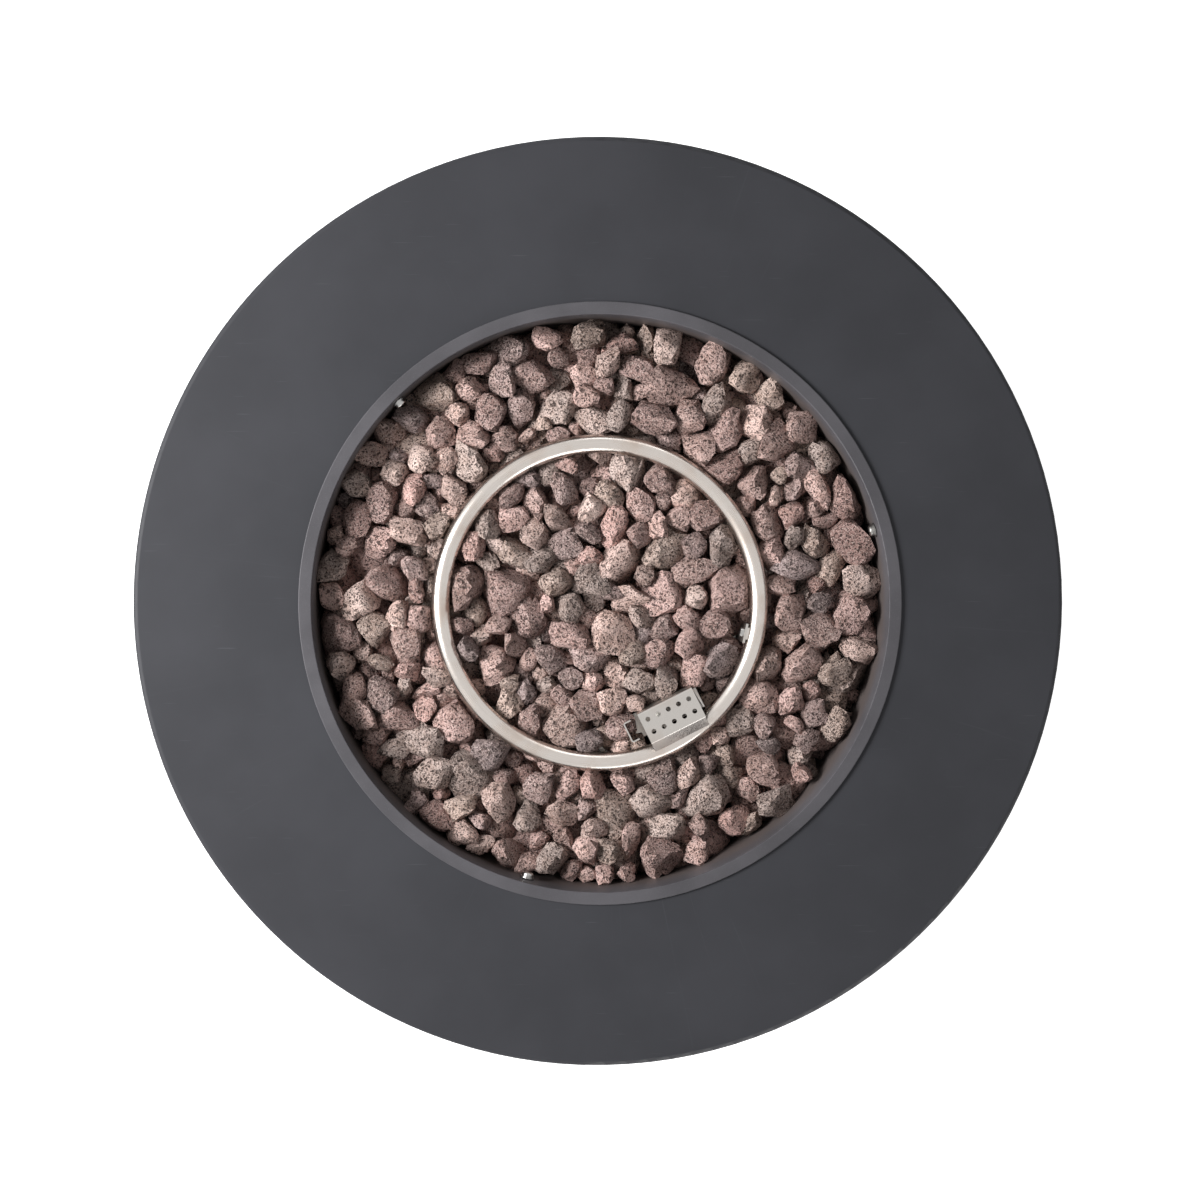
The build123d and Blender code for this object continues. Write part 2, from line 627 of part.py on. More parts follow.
# Strip supports of the ring, one node each
for number, angle in enumerate(support_angles, start=1):
    if number == 1:
        upright = support_face - SUPPORT_SHEET / 2
        support_top = ring_height + SUPPORT_RISE
    else:
        upright = ring_radius
        support_top = ring_under - SADDLE_GAP
    with BuildPart() as burner_support:
        with BuildSketch(section_plane(angle)):
            with BuildLine():
                FilletPolyline(
                    (support_back - SUPPORT_FOOT, floor_top + SUPPORT_SHEET / 2),
                    (upright, floor_top + SUPPORT_SHEET / 2),
                    (upright, support_top),
                    radius=SUPPORT_BEND,
                )
            trace(line_width=SUPPORT_SHEET)
        extrude(amount=SUPPORT_WIDTH / 2, both=True)
        if number == 1:
            with BuildSketch(outward_plane(angle, support_back - SUPPORT_SHEET, ring_height)):
                Circle(SUPPORT_SCREW_DIAMETER / 2 + SCREW_FIT)
            extrude(amount=3 * SUPPORT_SHEET, mode=Mode.SUBTRACT)
        with BuildSketch(turned_plane(angle, floor_top)):
            with Locations((support_back - SUPPORT_FOOT / 2, 0)):
                Circle(RIVET_DIAMETER / 2 + SLIDE_FIT)
        extrude(amount=SUPPORT_SHEET, mode=Mode.SUBTRACT)
    write(burner_support.part, f"burner_support_{number}")

with BuildPart() as support_screw:
    with BuildSketch(outward_plane(SUPPORT_FIRST_ANGLE, support_back, ring_height)):
        Circle(SUPPORT_SCREW_HEAD_DIAMETER / 2)
    extrude(amount=-SUPPORT_SCREW_HEAD_HEIGHT)
    with BuildSketch(outward_plane(SUPPORT_FIRST_ANGLE, support_back, ring_height)):
        Circle(SUPPORT_SCREW_DIAMETER / 2)
    extrude(amount=SUPPORT_SCREW_LENGTH)
write(support_screw.part, "support_screw")

with BuildPart() as floor_rivets:
    for angle, reach, shift, grip in [
        *((angle, support_back - SUPPORT_FOOT / 2, 0, SUPPORT_SHEET) for angle in support_angles),
        (HOOD_TURN_ANGLE, bracket_back - BRACKET_FOOT / 2, HOOD_SHIFT, BRACKET_SHEET),
    ]:
        with BuildSketch(turned_plane(angle, floor_top + grip)):
            with Locations((reach, shift)):
                Circle(RIVET_HEAD_DIAMETER / 2)
        extrude(amount=RIVET_HEAD_HEIGHT)
        with BuildSketch(turned_plane(angle, floor_under)):
            with Locations((reach, shift)):
                Circle(RIVET_DIAMETER / 2)
        extrude(amount=BOWL_SHEET + grip)
        with BuildSketch(turned_plane(angle, floor_under)):
            with Locations((reach, shift)):
                Circle(RIVET_HEAD_DIAMETER / 2)
        extrude(amount=-RIVET_HEAD_HEIGHT)
write(floor_rivets.part, "floor_rivets")

# Igniter bracket: foot, leg, plate and the two upturned end tabs
with BuildPart() as igniter_bracket:
    with BuildSketch(section_plane(HOOD_TURN_ANGLE, HOOD_SHIFT)):
        with BuildLine():
            FilletPolyline(
                (bracket_back - BRACKET_FOOT, floor_top + BRACKET_SHEET / 2),
                (bracket_back + BRACKET_SHEET / 2, floor_top + BRACKET_SHEET / 2),
                (bracket_back + BRACKET_SHEET / 2, bracket_plate + BRACKET_SHEET / 2),
                (bracket_front, bracket_plate + BRACKET_SHEET / 2),
                radius=BRACKET_BEND,
            )
        trace(line_width=BRACKET_SHEET)
    extrude(amount=BRACKET_LEG_WIDTH / 2, both=True)
    with BuildSketch(turned_plane(HOOD_TURN_ANGLE, bracket_plate)):
        with Locations(((bracket_back + bracket_front) / 2 + BRACKET_BEND, (bracket_left + bracket_right) / 2)):
            Rectangle(BRACKET_PLATE_DEPTH - 2 * BRACKET_BEND, bracket_right - bracket_left)
    extrude(amount=BRACKET_SHEET)
    with BuildSketch(turned_plane(HOOD_TURN_ANGLE, bracket_plate)):
        with BuildLine():
            FilletPolyline(
                (bracket_back + 2 * BRACKET_BEND + TAB_MARGIN, bracket_left + TAB_RETURN),
                (bracket_back + 2 * BRACKET_BEND + TAB_MARGIN, bracket_left + BRACKET_SHEET / 2),
                (bracket_front - TAB_MARGIN, bracket_left + BRACKET_SHEET / 2),
                (bracket_front - TAB_MARGIN, bracket_left + TAB_RETURN),
                radius=BRACKET_BEND,
            )
        trace(line_width=BRACKET_SHEET)
        with BuildLine():
            Line(
                (bracket_back + 2 * BRACKET_BEND + TAB_MARGIN, bracket_right - TAB_SPLAY),
                (bracket_front - TAB_MARGIN, bracket_right - BRACKET_SHEET),
            )
        trace(line_width=BRACKET_SHEET)
    extrude(amount=TAB_HEIGHT)
    with BuildSketch(turned_plane(HOOD_TURN_ANGLE, bracket_plate)):
        with Locations((ELECTRODE_REACH, ELECTRODE_SHIFT)):
            Circle(CERAMIC_DIAMETER / 2 + SCREW_FIT)
        with Locations((SENSOR_REACH, SENSOR_SHIFT)):
            Circle(SENSOR_DIAMETER / 2 + SCREW_FIT)
    extrude(amount=BRACKET_SHEET, mode=Mode.SUBTRACT)
    with BuildSketch(turned_plane(HOOD_TURN_ANGLE, floor_top)):
        with Locations((bracket_back - BRACKET_FOOT / 2, HOOD_SHIFT)):
            Circle(RIVET_DIAMETER / 2 + SCREW_FIT)
    extrude(amount=BRACKET_SHEET, mode=Mode.SUBTRACT)
write(igniter_bracket.part, "igniter_bracket")

# Igniter hood: back wall, perforated top and a front that slopes to the crest of the ring
with BuildPart() as igniter_hood:
    with BuildSketch(section_plane(HOOD_TURN_ANGLE, HOOD_SHIFT)):
        with BuildLine():
            FilletPolyline(
                (hood_back + HOOD_SHEET / 2, bracket_seat + SEAT_GAP),
                (hood_back + HOOD_SHEET / 2, hood_top - HOOD_SHEET / 2),
                (hood_front, hood_top - HOOD_SHEET / 2),
                (hood_front + HOOD_SLOPE, ring_crest + HOOD_CREST_GAP),
                radius=HOOD_BEND,
            )
        trace(line_width=HOOD_SHEET)
    extrude(amount=HOOD_LENGTH / 2, both=True)
    with BuildSketch(turned_plane(HOOD_TURN_ANGLE, hood_top)):
        with Locations((HOOD_REACH, HOOD_SHIFT)):
            with GridLocations(HOOD_ROW_PITCH, HOOD_HOLE_PITCH, HOOD_HOLE_ROWS, HOOD_HOLE_COLUMNS):
                Circle(HOOD_HOLE_DIAMETER / 2)
    extrude(amount=-HOOD_RISE / 2, mode=Mode.SUBTRACT)
write(igniter_hood.part, "igniter_hood")

# Spark electrode: ceramic body and bent needle
with BuildPart() as spark_electrode:
    with BuildSketch(turned_plane(HOOD_TURN_ANGLE, bracket_seat - CERAMIC_BELOW)):
        with Locations((ELECTRODE_REACH, ELECTRODE_SHIFT)):
            Circle(CERAMIC_DIAMETER / 2)
    extrude(amount=CERAMIC_BELOW + CERAMIC_ABOVE)
    with BuildSketch(turned_plane(HOOD_TURN_ANGLE, bracket_seat)):
        with Locations((ELECTRODE_REACH, ELECTRODE_SHIFT)):
            Circle(CERAMIC_COLLAR_DIAMETER / 2)
    extrude(amount=CERAMIC_COLLAR_HEIGHT)
    with BuildSketch(turned_plane(HOOD_TURN_ANGLE, bracket_seat - CERAMIC_BELOW)):
        with Locations((ELECTRODE_REACH, ELECTRODE_SHIFT)):
            Circle(NEEDLE_DIAMETER / 2 + SLIDE_FIT)
    extrude(amount=CERAMIC_BELOW + CERAMIC_ABOVE, mode=Mode.SUBTRACT)
write(spark_electrode.part, "spark_electrode")

needle_tip = bracket_seat + CERAMIC_ABOVE + NEEDLE_RISE
with BuildPart() as electrode_needle:
    with BuildLine(section_plane(HOOD_TURN_ANGLE, ELECTRODE_SHIFT)) as needle_path:
        FilletPolyline(
            (ELECTRODE_REACH, bracket_seat - CERAMIC_BELOW),
            (ELECTRODE_REACH, needle_tip),
            (ring_radius - tube_radius - SPARK_GAP, needle_tip),
            radius=NEEDLE_BEND,
        )
    with BuildSketch(Plane(origin=needle_path.line @ 0, z_dir=needle_path.line % 0)):
        Circle(NEEDLE_DIAMETER / 2)
    sweep(path=needle_path.line)
write(electrode_needle.part, "electrode_needle")

# Flame sensor: thermocouple with its seating collar
with BuildPart() as flame_sensor:
    with BuildSketch(turned_plane(HOOD_TURN_ANGLE, bracket_seat - SENSOR_BELOW)):
        with Locations((SENSOR_REACH, SENSOR_SHIFT)):
            Circle(SENSOR_DIAMETER / 2)
    extrude(amount=SENSOR_BELOW + SENSOR_ABOVE)
    fillet(flame_sensor.edges().group_by(Axis.Z)[-1], radius=SENSOR_DIAMETER / 3)
    with BuildSketch(turned_plane(HOOD_TURN_ANGLE, bracket_seat)):
        with Locations((SENSOR_REACH, SENSOR_SHIFT)):
            RegularPolygon(SENSOR_COLLAR_DIAMETER / 2, 6)
    extrude(amount=SENSOR_COLLAR_HEIGHT)
write(flame_sensor.part, "flame_sensor")


def clip(corners, point, normal):
    """Part of a convex outline that lies behind a line through a point with an outward normal."""
    kept = []
    for here, there in zip(corners, corners[1:] + corners[:1]):
        depth_here = (here - point).dot(normal)
        depth_there = (there - point).dot(normal)
        if depth_here <= 0:
            kept.append(here)
        if depth_here * depth_there < 0:
            kept.append(here + (there - here) * (depth_here / (depth_here - depth_there)))
    return kept


def thin_out(corners):
    """Outline without the corners that stand closer together than the least edge."""
    kept = []
    for corner in corners:
        if not kept or (corner - kept[-1]).length > ROCK_LEAST_EDGE:
            kept.append(corner)
    if len(kept) > 1 and (kept[0] - kept[-1]).length <= ROCK_LEAST_EDGE:
        kept.pop()
    return kept


def rock_outlines(count, keep_outs, draw):
    """Cells round scattered sites in the bowl, each a gap apart and clear of round keep-outs."""
    bed_radius = foot_radius - ROCK_WALL_GAP
    spacing = bed_radius * math.sqrt(math.pi / count)
    jitter = spacing * ROCK_JITTER_SHARE
    golden = math.pi * (3 - math.sqrt(5))
    sites = []
    for turn in range(count):
        reach = bed_radius * math.sqrt((turn + 1 / 2) / count)
        site = Vector(reach * math.cos(turn * golden), reach * math.sin(turn * golden))
        sites.append(site + Vector(draw.uniform(-jitter, jitter), draw.uniform(-jitter, jitter)))
    outlines = []
    for site in sites:
        outline = [site + Vector(x * spacing, y * spacing) for x, y in ((-2, -2), (2, -2), (2, 2), (-2, 2))]
        for other in sites:
            away = other - site
            if 0 < away.length < 4 * spacing:
                outline = clip(outline, site + away * ((1 - ROCK_GAP / away.length) / 2), away.normalized())
        bearing = math.atan2(site.Y, site.X)
        for step in range(-6, 7):
            edge = Vector(math.cos(bearing + step / 20), math.sin(bearing + step / 20))
            outline = clip(outline, edge * bed_radius, edge)
        for centre, room in keep_outs:
            away = centre - site
            if outline and away.length < 4 * spacing:
                outline = clip(outline, centre - away.normalized() * room, away.normalized())
        outline = thin_out(outline)
        if len(outline) > 3:
            outlines.append(outline)
    return outlines


def stone(outline, base, height, draw):
    """Faceted stone: the outline at its girdle and smaller ones at its foot and crown, joined by flats."""
    middle = sum(outline, Vector()) / len(outline)
    size = max((corner - middle).length for corner in outline)
    lean = Vector(draw.uniform(-1, 1), draw.uniform(-1, 1)) * (size * ROCK_LEAN_SHARE)
    rings = []
    for level_share, width_share in zip(ROCK_LEVEL_SHARES, ROCK_WIDTH_SHARES):
        centre = middle + Vector(0, 0, base + height * level_share) + lean * level_share * (1 - width_share)
        rings.append([centre + (corner - middle) * width_share for corner in outline])
    faces = [Face(Wire.make_polygon(rings[0])), Face(Wire.make_polygon(rings[-1]))]
    for low, high in zip(rings, rings[1:]):
        for here in range(len(outline)):
            after = (here + 1) % len(outline)
            faces.append(Face(Wire.make_polygon([low[here], low[after], high[after], high[here]])))
    return Solid(Shell(faces))


def on_hood(reach, shift):
    """Point on the ground plane given in the hood's own directions."""
    return turned_plane(HOOD_TURN_ANGLE, 0).from_local_coords(Vector(reach, shift))


# Lava rock: a lower layer on the floor of the bowl and an upper one on it, round the burner
rock_draw = random.Random(ROCK_SEED)
keep_outs = [(Vector(feed_x, feed_y), FEED_ROOM)]
for angle in support_angles:
    way = Vector(math.cos(math.radians(angle)), math.sin(math.radians(angle)))
    keep_outs.append((way * (support_face - SUPPORT_FOOT / 2), SUPPORT_ROOM))
    keep_outs.append((way * ring_radius, SADDLE_ROOM))
keep_outs.append((on_hood(ELECTRODE_REACH, ELECTRODE_SHIFT), LEAD_ROOM))
keep_outs.append((on_hood(SENSOR_REACH, SENSOR_SHIFT), LEAD_ROOM))
for side in (-1, 1):
    shift = HOOD_SHIFT + side * BRACKET_LEG_WIDTH / 4
    keep_outs.append((on_hood(bracket_back - BRACKET_FOOT / 2, shift), BRACKET_ROOM))
upper_base = floor_top + LOWER_ROCK_HEIGHT
hood_plane = turned_plane(HOOD_TURN_ANGLE, 0)


def headroom(outline):
    """Greatest height of a stone of the upper layer under the ring or the bracket."""
    reaches = [corner.length for corner in outline]
    if min(reaches) < ring_radius + tube_radius and max(reaches) > ring_radius - tube_radius:
        room = ring_under - ROCK_GAP - upper_base
    else:
        room = 2 * UPPER_ROCK_HEIGHT
    local = [hood_plane.to_local_coords(corner) for corner in outline]
    over_depth = min(p.X for p in local) < hood_front and max(p.X for p in local) > bracket_back
    over_length = min(p.Y for p in local) < bracket_right and max(p.Y for p in local) > bracket_left
    if over_depth and over_length:
        room = min(room, bracket_plate - ROCK_GAP - upper_base)
    return room


lower_stones = []
for outline in rock_outlines(LOWER_ROCK_COUNT, keep_outs, rock_draw):
    lower_stones.append(stone(outline, floor_top, LOWER_ROCK_HEIGHT, rock_draw))
write(Compound(lower_stones), "lava_rocks_lower")

upper_stones = []
for outline in rock_outlines(UPPER_ROCK_COUNT, keep_outs, rock_draw):
    height = UPPER_ROCK_HEIGHT * (1 - ROCK_HEIGHT_SPREAD_SHARE * rock_draw.random())
    upper_stones.append(stone(outline, upper_base, min(height, headroom(outline)), rock_draw))
write(Compound(upper_stones), "lava_rocks_upper")

# Drum: wall, control pad, window, doorway and vent windows
with BuildPart() as drum:
    with BuildSketch(Plane.XY.offset(base_top)):
        Circle(drum_radius)
    extrude(amount=deck_under - base_top)
    with BuildSketch(front_plane(PAD_REACH)):
        RectangleRounded(PAD_WIDTH, PAD_HEIGHT, PAD_CORNER)
    extrude(amount=-PAD_REACH)
    with BuildSketch(Plane.XY.offset(base_top)):
        Circle(drum_inner)
    extrude(amount=deck_under - base_top, mode=Mode.SUBTRACT)
    with BuildSketch(front_plane(PAD_REACH)):
        RectangleRounded(PANEL_WIDTH + 2 * SEAT_GAP, PANEL_HEIGHT + 2 * SEAT_GAP, PANEL_CORNER)
    extrude(amount=-PANEL_SHEET, mode=Mode.SUBTRACT)
    with BuildSketch(front_plane(PAD_REACH)):
        RectangleRounded(WINDOW_WIDTH, WINDOW_HEIGHT, PANEL_CORNER)
    extrude(amount=-PAD_REACH / 2, mode=Mode.SUBTRACT)
    with BuildSketch(front_plane(panel_seat)):
        with GridLocations(
            PANEL_WIDTH - 2 * PANEL_SCREW_MARGIN, PANEL_HEIGHT - 2 * PANEL_SCREW_MARGIN, 2, 2
        ):
            Circle(PANEL_SCREW_DIAMETER / 2 + SLIDE_FIT)
    extrude(amount=-PANEL_SCREW_LENGTH, mode=Mode.SUBTRACT)
    with BuildSketch(Plane.XY.offset(doorway_low)):
        add(
            ring_sector(
                drum_inner - OVERRUN, drum_radius + OVERRUN, 90 - DOOR_HALF_ANGLE, 90 + DOOR_HALF_ANGLE
            )
        )
    extrude(amount=doorway_high - doorway_low, mode=Mode.SUBTRACT)
    with BuildSketch(Plane.XY.offset(VENT_LOW + VENT_BORDER)):
        for middle_angle in (0, 180):
            vent_half_angle = VENT_HALF_ANGLE - VENT_BORDER_ANGLE
            add(
                ring_sector(
                    drum_inner - OVERRUN,
                    drum_radius + OVERRUN,
                    middle_angle - vent_half_angle,
                    middle_angle + vent_half_angle,
                )
            )
    extrude(amount=VENT_HEIGHT - 2 * VENT_BORDER, mode=Mode.SUBTRACT)
    with BuildSketch(Plane.XY.offset(base_top)):
        with PolarLocations(drum_radius - DRUM_WALL / 2, BASE_SCREW_COUNT):
            Circle(BASE_SCREW_DIAMETER / 2 + SLIDE_FIT)
    extrude(amount=BASE_SCREW_LENGTH, mode=Mode.SUBTRACT)
    for angle in top_bracket_angles:
        with BuildSketch(outward_plane(angle, top_bracket_seat - TOP_BRACKET_SHEET, wall_screw_height)):
            Circle(BRACKET_SCREW_DIAMETER / 2 + SLIDE_FIT)
        extrude(amount=BRACKET_SCREW_LENGTH + SEAT_GAP, mode=Mode.SUBTRACT)
write(drum.part, "drum")

# Angle brackets under the deck and their screws
with BuildPart() as top_brackets:
    for angle in top_bracket_angles:
        with BuildSketch(section_plane(angle)):
            with BuildLine():
                FilletPolyline(
                    (top_bracket_seat - TOP_BRACKET_FOOT, deck_under - TOP_BRACKET_SHEET / 2),
                    (top_bracket_seat - TOP_BRACKET_SHEET / 2, deck_under - TOP_BRACKET_SHEET / 2),
                    (top_bracket_seat - TOP_BRACKET_SHEET / 2, deck_under - TOP_BRACKET_LEG),
                    radius=TOP_BRACKET_BEND,
                )
            trace(line_width=TOP_BRACKET_SHEET)
        extrude(amount=TOP_BRACKET_WIDTH / 2, both=True)
        with BuildSketch(outward_plane(angle, top_bracket_seat - 2 * TOP_BRACKET_SHEET, wall_screw_height)):
            Circle(BRACKET_SCREW_DIAMETER / 2 + SCREW_FIT)
        extrude(amount=3 * TOP_BRACKET_SHEET, mode=Mode.SUBTRACT)
        with BuildSketch(turned_plane(angle, deck_under)):
            with Locations((deck_screw_reach, 0)):
                Circle(BRACKET_SCREW_DIAMETER / 2 + SCREW_FIT)
        extrude(amount=-TOP_BRACKET_SHEET, mode=Mode.SUBTRACT)
write(top_brackets.part, "top_brackets")

with BuildPart() as bracket_screws:
    for angle in top_bracket_angles:
        wall_seat = outward_plane(angle, top_bracket_seat - TOP_BRACKET_SHEET, wall_screw_height)
        deck_seat = turned_plane(angle, deck_under - TOP_BRACKET_SHEET)
        for seat, spot in ((wall_seat, (0, 0)), (deck_seat, (deck_screw_reach, 0))):
            with BuildSketch(seat):
                with Locations(spot):
                    Circle(BRACKET_SCREW_HEAD_DIAMETER / 2)
            extrude(amount=-BRACKET_SCREW_HEAD_HEIGHT)
            with BuildSketch(seat):
                with Locations(spot):
                    Circle(BRACKET_SCREW_DIAMETER / 2)
            extrude(amount=BRACKET_SCREW_LENGTH)
write(bracket_screws.part, "bracket_screws")

# Base plate with vent holes, and the weld nuts for the feet on top of it
with BuildPart() as base_plate:
    with BuildSketch(Plane.XY.offset(FOOT_HEIGHT)):
        Circle(drum_radius - BASE_MARGIN)
        with PolarLocations(BASE_VENT_CIRCLE_DIAMETER / 2, BASE_VENT_COUNT):
            Circle(BASE_VENT_DIAMETER / 2, mode=Mode.SUBTRACT)
        with PolarLocations(drum_radius - DRUM_WALL / 2, BASE_SCREW_COUNT):
            Circle(BASE_SCREW_DIAMETER / 2 + SCREW_FIT, mode=Mode.SUBTRACT)
    extrude(amount=BASE_THICKNESS)
    with BuildSketch(Plane.XY.offset(FOOT_HEIGHT)):
        with PolarLocations(FOOT_CIRCLE_DIAMETER / 2, FOOT_COUNT, start_angle=FOOT_FIRST_ANGLE):
            Circle(FOOT_BOLT_DIAMETER / 2 + SLIDE_FIT)
    extrude(amount=BASE_THICKNESS, mode=Mode.SUBTRACT)
write(base_plate.part, "base_plate")

with BuildPart() as foot_nuts:
    with BuildSketch(Plane.XY.offset(base_top)):
        with PolarLocations(FOOT_CIRCLE_DIAMETER / 2, FOOT_COUNT, start_angle=FOOT_FIRST_ANGLE):
            RegularPolygon(FOOT_NUT_WIDTH / 2, 6, major_radius=False)
            Circle(FOOT_BOLT_DIAMETER / 2 + SLIDE_FIT, mode=Mode.SUBTRACT)
    extrude(amount=FOOT_NUT_HEIGHT)
write(foot_nuts.part, "foot_nuts")

with BuildPart() as base_screws:
    with BuildSketch(Plane.XY.offset(FOOT_HEIGHT)):
        with PolarLocations(drum_radius - DRUM_WALL / 2, BASE_SCREW_COUNT):
            Circle(BASE_SCREW_HEAD_DIAMETER / 2)
    extrude(amount=-BASE_SCREW_HEAD_HEIGHT)
    with BuildSketch(Plane.XY.offset(FOOT_HEIGHT)):
        with PolarLocations(drum_radius - DRUM_WALL / 2, BASE_SCREW_COUNT):
            Circle(BASE_SCREW_DIAMETER / 2)
    extrude(amount=BASE_SCREW_LENGTH)
write(base_screws.part, "base_screws")

# Rubber feet, one node each, and their bolts
for number in range(1, FOOT_COUNT + 1):
    bearing = math.radians(FOOT_FIRST_ANGLE + (number - 1) * 360 / FOOT_COUNT)
    foot_spot = (FOOT_CIRCLE_DIAMETER / 2 * math.cos(bearing), FOOT_CIRCLE_DIAMETER / 2 * math.sin(bearing))
    with BuildPart() as foot:
        with BuildSketch():
            with Locations(foot_spot):
                Circle(FOOT_DIAMETER / 2)
        with BuildSketch(Plane.XY.offset(FOOT_HEIGHT)):
            with Locations(foot_spot):
                Circle(FOOT_DIAMETER / 2 - FOOT_TAPER)
        loft()
        fillet(foot.edges().group_by(Axis.Z)[0], radius=FOOT_EDGE_RADIUS)
        with BuildSketch():
            with Locations(foot_spot):
                Circle(FOOT_BOLT_HEAD_DIAMETER / 2 + SCREW_FIT)
        extrude(amount=FOOT_BOLT_RECESS, mode=Mode.SUBTRACT)
        with BuildSketch():
            with Locations(foot_spot):
                Circle(FOOT_BOLT_DIAMETER / 2 + SCREW_FIT)
        extrude(amount=FOOT_HEIGHT, mode=Mode.SUBTRACT)
    write(foot.part, f"foot_{number}")

with BuildPart() as foot_bolts:
    with BuildSketch(Plane.XY.offset(FOOT_BOLT_RECESS)):
        with PolarLocations(FOOT_CIRCLE_DIAMETER / 2, FOOT_COUNT, start_angle=FOOT_FIRST_ANGLE):
            Circle(FOOT_BOLT_HEAD_DIAMETER / 2)
    extrude(amount=-FOOT_BOLT_HEAD_HEIGHT)
    with BuildSketch(Plane.XY.offset(FOOT_BOLT_RECESS)):
        with PolarLocations(FOOT_CIRCLE_DIAMETER / 2, FOOT_COUNT, start_angle=FOOT_FIRST_ANGLE):
            Circle(FOOT_BOLT_DIAMETER / 2)
    extrude(amount=base_top + FOOT_NUT_HEIGHT - FOOT_BOLT_RECESS)
write(foot_bolts.part, "foot_bolts")

# Tank ring: a rolled ring with a welded flange that keeps the gas bottle in place
with BuildPart() as tank_ring:
    with BuildSketch(Plane(origin=(0, TANK_SHIFT, 0), x_dir=(1, 0, 0), z_dir=(0, -1, 0))):
        with BuildLine():
            FilletPolyline(
                (TANK_SEAT_DIAMETER / 2 + TANK_RING_SHEET / 2, base_top + TANK_RING_HEIGHT),
                (TANK_SEAT_DIAMETER / 2 + TANK_RING_SHEET / 2, base_top + TANK_RING_SHEET / 2),
                (TANK_SEAT_DIAMETER / 2 + TANK_RING_FLANGE, base_top + TANK_RING_SHEET / 2),
                radius=TANK_RING_BEND,
            )
        trace(line_width=TANK_RING_SHEET)
    revolve(axis=Axis((0, TANK_SHIFT, 0), (0, 0, 1)))
write(tank_ring.part, "tank_ring")

# Vent grilles: curved plates with upright slots
for name, middle_angle in (("vent_grille_right", 0), ("vent_grille_left", 180)):
    with BuildPart() as vent_grille:
        with BuildSketch(Plane.XY.offset(VENT_LOW)):
            add(
                ring_sector(
                    drum_radius,
                    drum_radius + VENT_SHEET,
                    middle_angle - VENT_HALF_ANGLE,
                    middle_angle + VENT_HALF_ANGLE,
                )
            )
        extrude(amount=VENT_HEIGHT)
        for slot in range(VENT_SLOT_COUNT):
            angle = middle_angle + (slot - (VENT_SLOT_COUNT - 1) / 2) * VENT_SLOT_PITCH_ANGLE
            with BuildSketch(outward_plane(angle, drum_inner, VENT_LOW + VENT_HEIGHT / 2)):
                SlotOverall(VENT_HEIGHT - 2 * VENT_BORDER, VENT_SLOT_WIDTH, rotation=90)
            extrude(amount=DRUM_WALL + OVERRUN, mode=Mode.SUBTRACT)
    write(vent_grille.part, name)

# Heat shield with a turned-down rim, hung from the floor of the bowl
with BuildPart() as heat_shield:
    with BuildSketch(Plane.XZ):
        with BuildLine():
            FilletPolyline(
                (0, shield_top - SHIELD_SHEET / 2),
                (SHIELD_DIAMETER / 2 - SHIELD_SHEET / 2, shield_top - SHIELD_SHEET / 2),
                (SHIELD_DIAMETER / 2 - SHIELD_SHEET / 2, shield_top - SHIELD_RIM),
                radius=SHIELD_BEND,
            )
        trace(line_width=SHIELD_SHEET)
    revolve(axis=Axis.Z)
    with BuildSketch(Plane.XY.offset(shield_top)):
        with Locations((feed_x, feed_y)):
            Circle(mixer_radius + SHUTTER_WALL + SHIELD_HOLE_GAP)
        with PolarLocations(SPACER_CIRCLE_DIAMETER / 2, SPACER_COUNT, start_angle=SPACER_FIRST_ANGLE):
            Circle(SHIELD_SCREW_DIAMETER / 2 + SCREW_FIT)
    extrude(amount=-SHIELD_SHEET, mode=Mode.SUBTRACT)
    with BuildSketch(turned_plane(HOOD_TURN_ANGLE, shield_top)):
        with Locations((ELECTRODE_REACH, ELECTRODE_SHIFT), (SENSOR_REACH, SENSOR_SHIFT)):
            Circle(LEAD_HOLE_DIAMETER / 2)
    extrude(amount=-SHIELD_SHEET, mode=Mode.SUBTRACT)
write(heat_shield.part, "heat_shield")

with BuildPart() as shield_spacers:
    with BuildSketch(Plane.XY.offset(shield_top)):
        with PolarLocations(SPACER_CIRCLE_DIAMETER / 2, SPACER_COUNT, start_angle=SPACER_FIRST_ANGLE):
            Circle(SPACER_DIAMETER / 2)
            Circle(SHIELD_SCREW_DIAMETER / 2 + SCREW_FIT, mode=Mode.SUBTRACT)
    extrude(amount=SHIELD_DROP)
write(shield_spacers.part, "shield_spacers")

with BuildPart() as shield_screws:
    with BuildSketch(Plane.XY.offset(shield_under)):
        with PolarLocations(SPACER_CIRCLE_DIAMETER / 2, SPACER_COUNT, start_angle=SPACER_FIRST_ANGLE):
            Circle(SHIELD_SCREW_HEAD_DIAMETER / 2)
    extrude(amount=-SHIELD_SCREW_HEAD_HEIGHT)
    with BuildSketch(Plane.XY.offset(shield_under)):
        with PolarLocations(SPACER_CIRCLE_DIAMETER / 2, SPACER_COUNT, start_angle=SPACER_FIRST_ANGLE):
            Circle(SHIELD_SCREW_DIAMETER / 2)
    extrude(amount=floor_top - shield_under)
write(shield_screws.part, "shield_screws")

